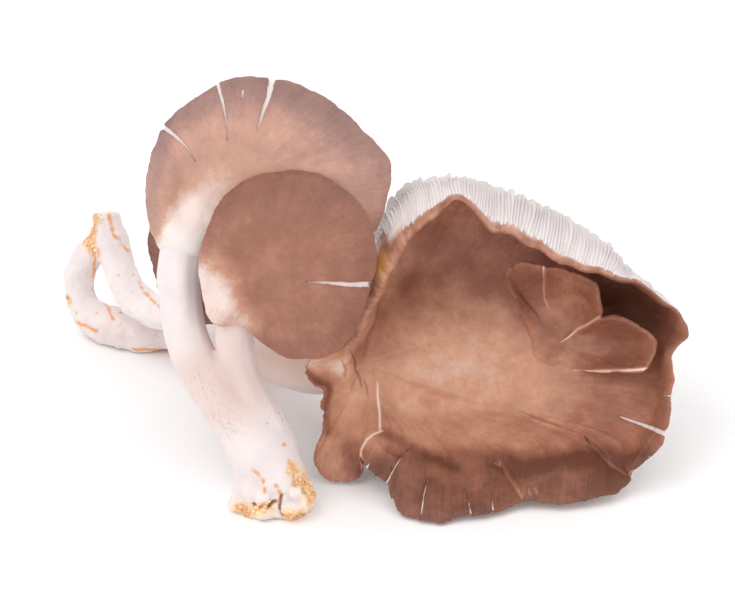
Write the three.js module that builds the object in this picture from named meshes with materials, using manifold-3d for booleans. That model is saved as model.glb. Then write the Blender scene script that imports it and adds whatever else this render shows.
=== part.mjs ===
// An oyster mushroom cluster, as picked: two clumps of two mushrooms each, laid together on a table.
// The front clump has a tall mushroom and a small round one that grow from one bulging foot.
// The back clump has a wide, curled mushroom and a hidden one, whose stems meet in a torn foot on the left.
// Every mushroom is a brown cap, and under it a white body: the gills run on into the stem, as they grow.
// Millimetres, +X right, +Y away from the viewer, +Z up, origin under the middle of the cluster's box.

import * as THREE from 'three';
import Module from 'manifold-3d';
import { mergeVertices } from 'three/addons/utils/BufferGeometryUtils.js';

const wasm = await Module();
wasm.setup();

// Driving dimensions.
const LEAN = THREE.MathUtils.degToRad(33); // the layout board leans back this far from upright
const BOARD_FOOT = new THREE.Vector3(-2.3, -59.2, 0); // where the board's [0, 0, 0] stands on the table
const GAP = 0.3; // clearance between a cap and the white body under it
const FLESH_AT_HUB = 5.2; // a cap's thickness over its stem
const FLESH_AT_RIM = 1.7; // and at its margin
const GILL_DEPTH = 3.4; // how far the deepest gill edge hangs under the flesh
const GILL_WEB = 0.9; // the flesh that carries the gills, between two of them
const ROOF_GAP = GAP + 0.15; // the web hangs this far under the cap, just past the cap's own clearance
const FULL_REACH = 42; // a rib at least this long has flesh of full thickness and gills of full depth
const NO_REACH = 14; // and one no longer than this has thin flesh and no gills

// A point on the layout board, [right, up the board, out from the board], in the part's frame.
function fromBoard(point) {
  return new THREE.Vector3(
    point.x,
    point.y * Math.sin(LEAN) - point.z * Math.cos(LEAN),
    point.y * Math.cos(LEAN) + point.z * Math.sin(LEAN),
  ).add(BOARD_FOOT);
}

const vec = ([right, up, out]) => new THREE.Vector3(right, up, out);
const mix = (a, b, share) => a + (b - a) * share;
const easeIn = (x) => THREE.MathUtils.smoothstep(x, 0, 1);

// Solids. A three.js geometry becomes a manifold, is cut or joined, and comes back as a geometry.
function solidFrom(geometry) {
  geometry.deleteAttribute('normal');
  geometry.deleteAttribute('uv');
  const merged = mergeVertices(geometry, 1e-3);
  return new wasm.Manifold(
    new wasm.Mesh({
      numProp: 3,
      vertProperties: merged.attributes.position.array,
      triVerts: new Uint32Array(merged.index.array),
    }),
  );
}

function geometryFrom(solid) {
  const mesh = solid.getMesh();
  const geometry = new THREE.BufferGeometry();
  geometry.setAttribute('position', new THREE.BufferAttribute(mesh.vertProperties, 3));
  geometry.setIndex(new THREE.BufferAttribute(mesh.triVerts, 1));
  geometry.computeVertexNormals();
  return geometry;
}

// The largest piece of a solid: a cut can leave crumbs of flesh behind, which would fall off.
function largestPiece(solid) {
  return solid.decompose().sort((a, b) => b.volume() - a.volume())[0];
}

const TABLE_BLOCK = 400;
const table = solidFrom(
  new THREE.BoxGeometry(TABLE_BLOCK, TABLE_BLOCK, TABLE_BLOCK).translate(0, 0, -TABLE_BLOCK / 2),
);

// Flesh presses flat where it rests, so what would reach below the table is cut off level.
const restOnTable = (solid) => largestPiece(solid.subtract(table));

// Carries a sphere's skin to another closed form: place(around, row) gives each vertex, on the board.
// Row 0 and the last row are the poles, and around runs once round, anticlockwise seen from row 0.
function carriedSphere(columns, lastRow, place) {
  const sphere = new THREE.SphereGeometry(1, columns, lastRow);
  const position = sphere.attributes.position;
  for (let row = 0; row <= lastRow; row++) {
    for (let column = 0; column <= columns; column++) {
      const pole = row === 0 || row === lastRow;
      const point = fromBoard(place(pole ? 0 : (column % columns) / columns, row));
      position.setXYZ(row * (columns + 1) + column, point.x, point.y, point.z);
    }
  }
  return solidFrom(sphere);
}

// A smooth closed line through points, at a count of points along it.
function onLoop(points, count) {
  const n = points.length;
  const index = Math.floor(count);
  const f = count - index;
  const [a, b, c, d] = [-1, 0, 1, 2].map((step) => points[(index + step + 2 * n) % n]);
  const part = (k) =>
    0.5 *
    (2 * b[k] +
      (c[k] - a[k]) * f +
      (2 * a[k] - 5 * b[k] + 4 * c[k] - d[k]) * f * f +
      (3 * b[k] - a[k] - 3 * c[k] + d[k]) * f * f * f);
  return vec([part('x'), part('y'), part('z')]);
}

// A smooth open line through points that stand at the given stations.
function onLine(points, stations, station, startSlope) {
  const slopes = points.map((point, i) => {
    if (i === 0 && startSlope) return startSlope;
    const before = Math.max(i - 1, 0);
    const after = Math.min(i + 1, points.length - 1);
    return points[after].clone().sub(points[before]).divideScalar(stations[after] - stations[before]);
  });
  let i = 0;
  while (i < points.length - 2 && station > stations[i + 1]) i++;
  const span = stations[i + 1] - stations[i];
  const f = (station - stations[i]) / span;
  return points[i]
    .clone()
    .multiplyScalar(2 * f ** 3 - 3 * f ** 2 + 1)
    .addScaledVector(points[i + 1], 3 * f ** 2 - 2 * f ** 3)
    .addScaledVector(slopes[i], span * (f ** 3 - 2 * f ** 2 + f))
    .addScaledVector(slopes[i + 1], span * (f ** 3 - f ** 2));
}

// A cap is a sheet that spreads from its hub. Its ribs are listed anticlockwise as seen, and each runs from
// the hub over a point on the sheet's floor and a point where it bends, and ends at the rim.
const RIB_STATIONS = [0, 0.42, 0.76, 1]; // where hub, floor, bend and rim stand along a rib
const BEND_SHARE = 0.74; // a rib with no bend of its own bends this far from hub to rim
const BEND_RISE = 0.35; // there it has covered this share of the rim's rise
const FLOOR_SHARE = 0.55; // the floor point stands this far from hub to bend
const HUB_SLOPE = 0.25; // the sheet leaves its hub nearly flat, at this share of the rib's own slope
const SAMPLES_PER_RIB = 12; // for measuring the rim's length
const NORMAL_REACH = 0.025; // how far round a point its facing is judged, which evens out small creases
const UPRIGHT_REACH = 0.5; // nearer the hub than this, the facing turns to straight out from the board

function capSheet(cap) {
  const hub = vec(cap.hub);
  const rims = cap.ribs.map(({ rim }) => vec(rim));
  const bends = cap.ribs.map(({ rim, bend, bendOut }) => {
    if (bend) return vec(bend);
    const point = hub.clone().lerp(vec(rim), BEND_SHARE);
    point.z = bendOut ?? hub.z + cap.dome + (rim[2] - hub.z) * BEND_RISE;
    return point;
  });
  const floors = bends.map((bend) => {
    const point = hub.clone().lerp(bend, FLOOR_SHARE);
    const reach = Math.hypot(point.x - hub.x, point.y - hub.y);
    point.z = hub.z + cap.swell * easeIn(reach / cap.fullReach);
    return point;
  });
  const reaches = rims.map((rim) => vec([rim.distanceTo(hub), 0, 0]));

  // Rim length decides how the columns spread, so that gills stand evenly along the margin.
  const steps = cap.ribs.length * SAMPLES_PER_RIB;
  const lengths = [0];
  for (let i = 1; i <= steps; i++) {
    const here = onLoop(rims, (i / steps) * rims.length);
    const before = onLoop(rims, ((i - 1) / steps) * rims.length);
    lengths.push(lengths[i - 1] + here.distanceTo(before));
  }
  const ribCountAt = (around) => {
    const target = (((around % 1) + 1) % 1) * lengths[steps];
    let i = 1;
    while (lengths[i] < target) i++;
    const f = (target - lengths[i - 1]) / (lengths[i] - lengths[i - 1]);
    return (((i - 1 + f) / steps) * rims.length) % rims.length;
  };

  const at = (around, outward) => {
    const count = ribCountAt(around);
    const floor = onLoop(floors, count);
    const start = floor.clone().sub(hub).divideScalar(RIB_STATIONS[1]);
    start.z *= HUB_SLOPE;
    return onLine([hub, floor, onLoop(bends, count), onLoop(rims, count)], RIB_STATIONS, outward, start);
  };
  const normalAt = (around, outward) => {
    if (outward < 0.02) return vec([0, 0, 1]);
    const low = Math.max(outward - NORMAL_REACH, 0.01);
    const high = Math.min(outward + NORMAL_REACH, 1);
    const out = at(around, high).sub(at(around, low));
    const along = at(around + NORMAL_REACH, outward).sub(at(around - NORMAL_REACH, outward));
    const upright = 1 - easeIn(outward / UPRIGHT_REACH);
    return out.cross(along).normalize().lerp(vec([0, 0, 1]), upright).normalize();
  };
  // Short ribs turn down tightly, so they have thinner flesh and shallower gills.
  const roomAt = (around) => {
    const reach = onLoop(reaches, ribCountAt(around)).x;
    return easeIn((reach - NO_REACH) / (FULL_REACH - NO_REACH));
  };
  return { at, normalAt, roomAt };
}

// Half of a cap's thickness. It thins outwards, and sooner along short ribs.
function fleshHalf(cap, around, outward) {
  const full = cap.flesh * FLESH_AT_HUB;
  const halfway = mix(FLESH_AT_RIM, full, 0.5 * cap.sheet.roomAt(around));
  const inner = mix(full, halfway, easeIn(outward / 0.5));
  return mix(inner, FLESH_AT_RIM, easeIn(outward)) / 2;
}

// The brown cap: a sheet of flesh, thick over the stem and thin at the margin.
// extra grows it all round, for cutting its room out of the white body.
// Cap, web and gills share their rows, so their faces stay parallel where the sheet bends.
const SHEET_ROWS = [0, 0.22, 0.42, 0.6, 0.74, 0.86];
const MARGIN_ROW = 0.96;

function capSolid(cap, extra = 0) {
  const rows = [...SHEET_ROWS, MARGIN_ROW, 1, MARGIN_ROW, ...SHEET_ROWS.toReversed()];
  return carriedSphere(cap.gills, rows.length - 1, (around, row) => {
    const outward = rows[row];
    const point = cap.sheet.at(around, outward);
    if (outward === 1) {
      const onward = point.clone().sub(cap.sheet.at(around, 0.98)).normalize();
      return point.addScaledVector(onward, extra);
    }
    const side = row <= SHEET_ROWS.length ? 1 : -1;
    const half = fleshHalf(cap, around, outward) + extra;
    return point.addScaledVector(cap.sheet.normalAt(around, outward), side * half);
  });
}

// The gills: a thin web under the cap, folded into ridges that run from the stem to near the rim.
// Each column of the cap carries one ridge, and the valley beside it lies midway to the next column.
const GILL_RIM = 0.95; // the web ends this far along each rib
const GILL_START = 0.1; // the ridges rise from here outwards
const GILL_RISE = 0.4;
const GILL_FADE = 0.2; // and run out over this much before the web's end

function gillSolid(cap) {
  const rows = [...SHEET_ROWS, GILL_RIM, ...SHEET_ROWS.toReversed()];
  const rimRow = SHEET_ROWS.length;
  const columns = cap.gills * 2;
  const under = (around, outward, drop) =>
    cap.sheet.at(around, outward).addScaledVector(cap.sheet.normalAt(around, outward), -drop);
  return carriedSphere(columns, rows.length - 1, (around, row) => {
    const outward = rows[row];
    const valley = Math.round(around * columns) % 2 === 1;
    let thickness = 0;
    if (row === rimRow) thickness = GILL_WEB / 2;
    if (row > rimRow) thickness = GILL_WEB;
    const web = (column) => under(column, outward, fleshHalf(cap, column, outward) + ROOF_GAP + thickness);
    if (valley) return web(around - 1 / columns).lerp(web(around + 1 / columns), 0.5);
    if (row <= rimRow) return web(around);
    const shallow = easeIn((GILL_RIM - outward) / GILL_FADE) * easeIn((outward - GILL_START) / GILL_RISE);
    const depth = GILL_DEPTH * cap.sheet.roomAt(around) * shallow;
    return under(around, outward, fleshHalf(cap, around, outward) + ROOF_GAP + thickness + depth);
  });
}

// A stem: rings of varying radius round a smooth line of [right, up, out, radius], closed at both ends.
// Its first and last rings stand closer, which rounds the ends.
const END_ROUNDING = 0.12;
const LINE_STEP = 0.01; // for judging which way the line runs
function stemSolid(stem, extra = 0) {
  const points = stem.line.map(vec);
  const radii = stem.line.map(([, , , radius]) => radius);
  const stations = points.map((_, i) => i / (points.length - 1));
  const rows = stem.rings;
  const lineAt = (station) => onLine(points, stations, THREE.MathUtils.clamp(station, 0, 1));
  return carriedSphere(stem.sides, rows, (around, row) => {
    const share = row / rows;
    const station = (1 - Math.cos(Math.PI * share)) * END_ROUNDING + share * (1 - 2 * END_ROUNDING);
    const along = lineAt(station + LINE_STEP).sub(lineAt(station - LINE_STEP)).normalize();
    const sideways = vec([0, 0, 1]).cross(along).normalize();
    const outward = along.clone().cross(sideways);
    const count = station * (radii.length - 1);
    const index = Math.min(Math.floor(count), radii.length - 2);
    const radius = mix(radii[index], radii[index + 1], easeIn(count - index)) + extra;
    if (row === 0) return points[0].clone().addScaledVector(along, -extra);
    if (row === rows) return points[points.length - 1].clone().addScaledVector(along, extra);
    const angle = around * 2 * Math.PI;
    return lineAt(station)
      .addScaledVector(sideways, Math.cos(angle) * radius)
      .addScaledVector(outward, -Math.sin(angle) * radius);
  });
}

// A slit in a cap: a wedge from its tip, widening to its mouth on the board, through all the flesh.
const WEDGE_DEPTH = 70;
const WEDGE_BACK = 0.65; // this share of the wedge lies behind the board
const WEDGE_PAST = 3; // and it runs on this far past the margin
function slitWedge({ tip, mouth, width }) {
  const [from, to] = [new THREE.Vector2(...tip), new THREE.Vector2(...mouth)];
  const onward = to.clone().sub(from).normalize();
  const aside = new THREE.Vector2(-onward.y, onward.x).multiplyScalar(width / 2);
  const end = to.addScaledVector(onward, WEDGE_PAST);
  const outline = new THREE.Shape([from, end.clone().sub(aside), end.clone().add(aside)]);
  const wedge = new THREE.ExtrudeGeometry(outline, { depth: WEDGE_DEPTH, bevelEnabled: false });
  wedge.translate(0, 0, -WEDGE_DEPTH * WEDGE_BACK);
  const position = wedge.attributes.position;
  for (let i = 0; i < position.count; i++) {
    const point = fromBoard(new THREE.Vector3().fromBufferAttribute(position, i));
    position.setXYZ(i, point.x, point.y, point.z);
  }
  return solidFrom(wedge);
}

function ball(centre, radius, columns = 10, rows = 7) {
  const place = fromBoard(vec(centre));
  return solidFrom(new THREE.SphereGeometry(radius, columns, rows).translate(place.x, place.y, place.z));
}

// The tall mushroom: a fan-shaped cap that flows down into a long stem.
const tallRim = [
  [7.4, 107.5, -5.5], [5.4, 111.6, -6], [0.1, 117.6, -7], [-8.8, 125.9, -8], [-17.7, 131.2, -8],
  [-27, 133.8, -8], [-38.4, 134.5, -8], [-46, 131.8, -8], [-55.7, 125.3, -8], [-62.5, 117.6, -7],
  [-66, 106.2, -5.5], [-66.2, 96.3, -4.5], [-64.6, 88, -4.5], [-60.4, 81.5, -4.5], [-55, 77.5, -4],
  [-49, 77.5, -4.5], [-43.5, 75, -6], [-35, 72, -7], [-24.6, 72, -7], [-14, 75, -7], [-4.5, 81, -7.4],
  [2.6, 88.5, -7.2], [6.4, 97, -6],
];
const tall = {
  hub: [-49, 96, 2],
  dome: 5,
  swell: 4,
  fullReach: 30,
  flesh: 1,
  gills: 34,
  ribs: tallRim.map((rim) => ({ rim })),
  slits: [
    { tip: [-51.6, 109.5], mouth: [-61.8, 120], width: 1.4 },
    { tip: [-41.7, 115.5], mouth: [-45.2, 134], width: 1.2 },
    { tip: [-32.7, 118.5], mouth: [-28.5, 134.7], width: 2 },
  ],
};
// The top of the stem lies on the cap's upper side as a tongue, as the stem flows out into the fan.
const tallStem = {
  sides: 12,
  rings: 17,
  line: [
    [-49.5, 101, 0, 3.2], [-51.6, 94, 0.2, 5.2], [-54.4, 86, 0, 7.6], [-56.1, 76.5, 0, 7],
    [-55.8, 67, 0, 6.3],
    [-54.4, 57, -0.5, 6.2], [-50.7, 47.7, -1.5, 6.6], [-44.7, 39, -3, 7.6], [-37.8, 31, -5, 8.8],
    [-32.3, 23, -7, 9.8], [-29, 14.5, -9, 11], [-27.8, 8, -10.5, 11.6], [-27.6, 2, -11, 11],
  ],
};
const tallFootLobes = [
  { centre: [-33, 9.5, -7], radius: 7.6 },
  { centre: [-22.2, 8.5, -6.5], radius: 6.8 },
];

// The small round mushroom in front of it. Its cap overhangs the top of its stem.
const smallRim = [
  [2.8, 80.2, 10], [2.5, 86.1, 10], [0.7, 92.1, 10], [-2.9, 97.4, 10], [-7.6, 101.6, 9.5],
  [-13.5, 105.1, 7.6], [-23.1, 106.6, 7.2], [-32.5, 105.1, 7.6], [-38.4, 102.1, 8.2], [-43.2, 97.4, 9],
  [-46.8, 91.5, 9.5], [-49, 84, 10], [-50, 77, 11], [-48.8, 67.5, 12.5], [-46.6, 61, 14],
  [-41.4, 59.8, 15], [-36.6, 59.2, 14.5], [-31.3, 54.7, 12], [-24.5, 50.6, 11], [-16, 49.8, 11],
  [-8.8, 52, 10.5], [-3.6, 58, 10], [0.1, 67.8, 10], [2.1, 74, 10],
];
const small = {
  hub: [-30, 76, 18.5],
  dome: 4,
  swell: 4,
  fullReach: 22,
  flesh: 1,
  gills: 28,
  ribs: smallRim.map((rim) => ({ rim })),
  slits: [{ tip: [-17.7, 72.9], mouth: [2.4, 72.6], width: 1.8 }],
};
const smallStem = {
  sides: 10,
  rings: 10,
  line: [
    [-36.5, 69, 12, 5], [-39.5, 61, 10, 5.7], [-39.8, 53.5, 5.5, 5.7], [-38.4, 46, 0, 5.9],
    [-35.5, 38, -5, 6.5], [-31.5, 29, -8, 6],
  ],
};

// The hidden mushroom behind the tall one. Its stem rises from the table to a torn end.
const hiddenRim = [
  [-13, 92, -21], [-15, 100, -21], [-21, 107, -22], [-31, 111.5, -22], [-42, 113, -22],
  [-54, 109, -22], [-62, 99, -21], [-65.4, 88, -21], [-65, 79, -22], [-62.6, 70, -24],
  [-57, 63, -25], [-49, 60, -26], [-40, 62, -24], [-28, 68, -22], [-18, 79, -21],
];
const hidden = {
  hub: [-50, 76, -20],
  dome: 2,
  swell: 2,
  fullReach: 30,
  flesh: 1,
  gills: 18,
  ribs: hiddenRim.map((rim) => ({ rim })),
  slits: [],
};
const hiddenStem = {
  sides: 9,
  rings: 16,
  line: [
    [-47, 83, -20.5, 4], [-51, 75, -28, 5.6], [-54.5, 69, -38, 5.5], [-59, 63.5, -50, 5.2],
    [-64.5, 63.9, -62, 5],
    [-68.7, 66.9, -68, 5], [-72, 70.5, -72, 5], [-74.4, 75, -75, 5], [-76.5, 81, -78, 5.1],
    [-78, 87, -79, 5], [-79, 94, -79, 4],
  ],
};

// The wide mushroom: a cap curled into a bowl, whose upper rim rolls forward and shows its gills.
const wideRibs = [
  { rim: [92.4, 42, -8], bend: [83, 43, -25] },
  { rim: [91.8, 51.5, -8], bend: [83, 51.5, -27] },
  { rim: [96, 57, -10], bend: [85, 60, -28] },
  { rim: [94.5, 62.1, -14], bend: [81.5, 65.5, -31] },
  { rim: [86.4, 69, -12], bend: [79, 69.5, -30] },
  { rim: [81, 72, -3], bend: [76.5, 73, -28] },
  { rim: [75.9, 73.2, 1], bend: [73.5, 77.5, -28] },
  { rim: [69.9, 74.5, 3], bend: [69.5, 82, -28] },
  { rim: [64.8, 75, 4], bend: [64.5, 86, -28] },
  { rim: [59.4, 77.7, 3], bend: [59, 89.5, -28] },
  { rim: [53.4, 81.6, 2], bend: [53, 92.5, -28] },
  { rim: [47.4, 84.6, 2], bend: [47.5, 95, -28] },
  { rim: [42.9, 86.6, 2], bend: [42.5, 97.5, -27] },
  { rim: [37.8, 87.5, 3], bend: [37, 99, -26] },
  { rim: [33.3, 93, 4], bend: [31.5, 100.5, -24] },
  { rim: [27.9, 98, 4], bend: [25.5, 101, -20] },
  { rim: [23, 95, 4], bend: [19.5, 101, -18] },
  { rim: [17.4, 88.8, 4], bend: [14, 100, -17] },
  { rim: [10.5, 81.6, 4], bend: [9, 94.5, -14.5] },
  { rim: [5.7, 75.5, 4], bend: [5, 87.5, -11.2] },
  { rim: [1.8, 68, 3], bend: [3.5, 74.5, -15] },
  { rim: [-1.5, 61, 2], bend: [-2, 66, -16] },
  { rim: [-5, 54, -3], bend: [-7.5, 57.5, -18] },
  { rim: [-12, 51, -8], bend: [-10, 51, -20] },
  { rim: [-19.5, 48.5, -9], bend: [-13.6, 47.5, -20] },
  { rim: [-17.1, 43.5, -12], bendOut: -21 },
  { rim: [-12.8, 39.5, -13], bendOut: -21 },
  { rim: [-13.5, 34, -13], bendOut: -21 },
  { rim: [-13.4, 27, -15], bendOut: -21 },
  { rim: [-16, 18.5, -17], bendOut: -21 },
  { rim: [-11, 12.6, -17], bendOut: -21 },
  { rim: [-4, 12.5, -16], bend: [-1.5, 23, -20] },
  { rim: [-1.3, 18.5, -12], bend: [1, 25.5, -19] },
  { rim: [0.2, 15, -9], bend: [4.8, 26, -19] },
  { rim: [5, 11.2, -8], bend: [8.4, 25, -20] },
  { rim: [8, 5, -4], bend: [12.3, 24, -21] },
  { rim: [13, 1.5, -1], bend: [16, 22.5, -21] },
  { rim: [21.9, 0, 1], bend: [22, 21, -21] },
  { rim: [31.5, 2, 0], bend: [31, 20, -21] },
  { rim: [40, 3.4, -2], bend: [40, 20, -21] },
  { rim: [46.8, 6, -5], bend: [47.4, 21.5, -23] },
  { rim: [57.9, 5.4, -5], bend: [58.5, 23.4, -25] },
  { rim: [69, 6.5, -6], bend: [66.9, 24, -25] },
  { rim: [78, 11, -10], bend: [74, 24.5, -22] },
  { rim: [80.5, 15.5, -8], bend: [76, 26, -22] },
  { rim: [86, 20.5, -7], bend: [79.5, 30, -22] },
  { rim: [90.2, 27, -7], bend: [82.5, 35.5, -23] },
];
const wide = {
  hub: [-1, 48, -24],
  dome: 0,
  swell: -14,
  fullReach: 42,
  flesh: 1,
  gills: 58,
  ribs: wideRibs,
  slits: [
    { tip: [77.4, 31.5], mouth: [90.3, 27.3], width: 1.6 },
    { tip: [2.6, 25], mouth: [-2.2, 14], width: 1.6 },
    { tip: [10.5, 21], mouth: [5.1, 10.5], width: 1.4 },
    { tip: [17.4, 14], mouth: [17.2, 1.5], width: 1.2 },
    { tip: [28.8, 10.5], mouth: [31.5, 2], width: 1.2 },
    { tip: [40, 12], mouth: [41.4, 3.5], width: 1.2 },
    { tip: [46, 19], mouth: [46.5, 6], width: 1.4 },
  ],
};
const wideStem = {
  sides: 10,
  rings: 18,
  line: [
    [17, 48, -34, 3], [7, 48, -32, 7], [-5, 48, -35.5, 8.6], [-16, 46.5, -44, 7.6], [-30, 50, -58, 6.8],
    [-45, 54, -70, 6], [-59.7, 57.6, -79, 5.6], [-68.1, 57.9, -80, 6], [-75.6, 59.4, -82, 6.2],
    [-82, 61.5, -84, 5.6], [-86, 66, -85, 4.9], [-87.4, 73, -84.5, 4.4], [-85.5, 80, -82.5, 4.4],
    [-81, 85.5, -80, 3.6], [-78.5, 88, -79, 3],
  ],
};
// A torn part of the same cap folds forward inside the bowl, in two lobes.
const flapRim = [
  [60, 45.5, -32], [72.9, 45.7, -20], [83.4, 46.5, -12], [87, 53.4, -10], [83.4, 59.1, -11],
  [76.5, 62.1, -13], [70, 61.5, -18], [69.5, 67.5, -13], [68, 73, -11], [57.9, 77, -11],
  [48.9, 79, -13], [42.3, 77.7, -13], [41.5, 73.5, -16], [45, 67, -24], [46, 59, -33], [46, 52, -36],
  [52, 46.5, -36],
];
const flap = {
  hub: [61, 57, -30.5],
  dome: -1,
  swell: 2,
  fullReach: 30,
  flesh: 0.7,
  gills: 24,
  ribs: flapRim.map((rim) => ({ rim })),
};

// Sawdust that the clumps grew on still clings to their feet: angular crumbs along a line on the stem.
const CRUMB_STEP = 2.7;
const CRUMB_RADIUS = [1.9, 2.7];
// The same crumbs come out each time: a row of numbers between 0 and 1 that depends only on its seed.
function seededRandom(seed) {
  let state = seed;
  return () => {
    state = (state * 16807) % 2147483647;
    return state / 2147483647;
  };
}
function crumbs(line, seed) {
  const random = seededRandom(seed);
  const curve = new THREE.CatmullRomCurve3(line.map((point) => fromBoard(vec(point))));
  const count = Math.ceil(curve.getLength() / CRUMB_STEP);
  let clump = null;
  for (let i = 0; i <= count; i++) {
    const place = curve.getPointAt(i / count);
    const crumb = new THREE.IcosahedronGeometry(mix(...CRUMB_RADIUS, random()), 0);
    crumb.rotateX(random() * 3).rotateZ(random() * 3);
    crumb.translate(place.x + random() - 0.5, place.y + random() - 0.5, place.z + random() - 0.5);
    clump = clump ? clump.add(solidFrom(crumb)) : solidFrom(crumb);
  }
  return clump;
}
const frontLine = [
  [-39, 7, -8], [-36.5, 4, -4], [-31, 3, 0.2], [-26, 2.5, 0.6], [-21, 2.5, -0.5], [-17, 6, -2.5],
  [-16.2, 11, -3], [-18, 16, -0.5], [-21.5, 19.5, 1.5],
];
const backLine = [
  [-82.6, 93, -78], [-83.2, 88, -78.5], [-82.6, 83, -78], [-82.6, 78, -79], [-83, 73, -81], [-82.5, 69, -80],
  [-80, 66, -78], [-78, 63.5, -77],
];

const mushrooms = { tall, small, wide, hidden };
for (const cap of [tall, small, wide, hidden, flap]) cap.sheet = capSheet(cap);

const BROWN = new THREE.MeshStandardMaterial({ color: 0x9c7666, roughness: 0.62, metalness: 0 });
const WHITE = new THREE.MeshStandardMaterial({ color: 0xe9dfda, roughness: 0.7, metalness: 0 });
const ORANGE = new THREE.MeshStandardMaterial({ color: 0xe39a5c, roughness: 0.85, metalness: 0 });

const cluster = new THREE.Group();
function addNode(name, solid, material) {
  const mesh = new THREE.Mesh(geometryFrom(solid), material);
  mesh.name = name;
  cluster.add(mesh);
}

// The caps, split by their slits.
for (const [name, cap] of Object.entries(mushrooms)) {
  let solid = capSolid(cap);
  if (cap === wide) solid = solid.add(capSolid(flap));
  if (cap === tall) solid = solid.subtract(stemSolid(tallStem, GAP));
  for (const slit of cap.slits) solid = solid.subtract(slitWedge(slit));
  addNode(`${name}_cap`, restOnTable(solid), BROWN);
}

// The white flesh of a clump is one body: each mushroom's gills and stem, grown together at the foot.
// The tall stem comes up through the edge of its cap; the others end under theirs.
function whiteBody(cap, stem) {
  const room = capSolid(cap, GAP);
  const gills = gillSolid(cap);
  if (cap === tall) return gills.subtract(room).add(stemSolid(stem));
  return gills.add(stemSolid(stem)).subtract(room);
}
const footLobes = tallFootLobes.map(({ centre, radius }) => ball(centre, radius));
const frontMushrooms = whiteBody(tall, tallStem).add(whiteBody(small, smallStem));
const frontWhite = restOnTable(footLobes.reduce((sum, lobe) => sum.add(lobe), frontMushrooms));
const backWhite = restOnTable(whiteBody(wide, wideStem).add(whiteBody(hidden, hiddenStem)));
addNode('front_stems_and_gills', frontWhite, WHITE);
addNode('back_stems_and_gills', backWhite, WHITE);

const grown = (stem) => stemSolid(stem, GAP);
const grownLobes = tallFootLobes.map(({ centre, radius }) => ball(centre, radius + GAP));
function addSubstrate(name, line, seed, fleshUnder) {
  const clump = fleshUnder.reduce((rest, flesh) => rest.subtract(flesh), crumbs(line, seed));
  addNode(name, restOnTable(clump), ORANGE);
}
addSubstrate('front_substrate', frontLine, 7, [grown(tallStem), ...grownLobes]);
addSubstrate('back_substrate', backLine, 11, [grown(wideStem), grown(hiddenStem)]);

export default cluster;
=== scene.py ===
# %% [markdown]
# # A cluster of oyster mushrooms
# Two clumps of oyster mushrooms lie on a white table, as picked. The front clump has a tall, fan-shaped
# mushroom and a small round one; the back clump has a wide cap curled into a bowl, and a mushroom that
# hides behind the tall one. This lesson models their skin, gills, stems and the sawdust on their feet.

# %% The fixed frame
import math

import bmesh
import bpy
import numpy as np
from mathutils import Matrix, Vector, kdtree, noise


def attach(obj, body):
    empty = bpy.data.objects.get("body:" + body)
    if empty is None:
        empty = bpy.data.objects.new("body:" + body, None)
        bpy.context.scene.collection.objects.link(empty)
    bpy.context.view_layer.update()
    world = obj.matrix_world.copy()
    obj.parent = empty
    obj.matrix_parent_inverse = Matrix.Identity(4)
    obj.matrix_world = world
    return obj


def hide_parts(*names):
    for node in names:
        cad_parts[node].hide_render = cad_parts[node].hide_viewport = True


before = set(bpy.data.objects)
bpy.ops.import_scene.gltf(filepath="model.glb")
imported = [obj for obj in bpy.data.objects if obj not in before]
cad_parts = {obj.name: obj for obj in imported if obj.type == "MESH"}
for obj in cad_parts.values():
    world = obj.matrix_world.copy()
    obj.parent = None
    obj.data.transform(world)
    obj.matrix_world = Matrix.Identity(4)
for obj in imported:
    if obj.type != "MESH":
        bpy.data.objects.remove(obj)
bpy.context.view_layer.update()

MM = 0.001
print("nodes:", sorted(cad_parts))

# %% [markdown]
# ## The layout board
# All places are laid out on a board that leans back like the line of sight: the first number runs to the
# right, the second up the board and the third out of it towards the viewer. That keeps what the eye sees
# and how deep it lies apart.

# %% The board's place on the table
LEAN = math.radians(33)
BOARD_FOOT = np.array([-2.3, -59.2, 0.0])
OUT = Vector((0, -math.cos(LEAN), math.sin(LEAN)))


def from_board(points):
    """Board millimetres to metres in the frame."""
    right, up, out = np.asarray(points, float).T
    back = up * math.sin(LEAN) - out * math.cos(LEAN)
    high = up * math.cos(LEAN) + out * math.sin(LEAN)
    return MM * (np.column_stack([right, back, high]) + BOARD_FOOT)


def ease(x):
    """A soft step from 0 to 1."""
    x = np.clip(x, 0, 1)
    return x * x * (3 - 2 * x)


def lumps(points, size, seed=0.0):
    """Smooth noise between -1 and 1 at each point, in lumps of about that size."""
    return np.array([noise.noise(Vector(p)) for p in np.asarray(points) / size + seed])


print("the board leans back", round(math.degrees(LEAN)), "degrees")

# %% [markdown]
# ## How a cap grows
# A cap is a sheet of flesh that spreads from its hub, the place over the stem. Ribs run from the hub over
# the floor of the sheet to a bend and end at the rim. The rim is a smooth loop through listed points,
# so the sheet can be a fan, a dome or a curled bowl with the same few lines.

# %% Smooth lines through a few points
RIB_STATIONS = np.array([0, 0.42, 0.76, 1])


def on_loop(points, count):
    """A smooth closed line through points, at counts of points along it."""
    n = len(points)
    index = np.floor(count).astype(int)
    f = (count - index)[:, None]
    a, b, c, d = (points[(index + step) % n] for step in (-1, 0, 1, 2))
    curve = (2 * a - 5 * b + 4 * c - d) * f**2 + (3 * b - a - 3 * c + d) * f**3
    return 0.5 * (2 * b + (c - a) * f + curve)


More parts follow.
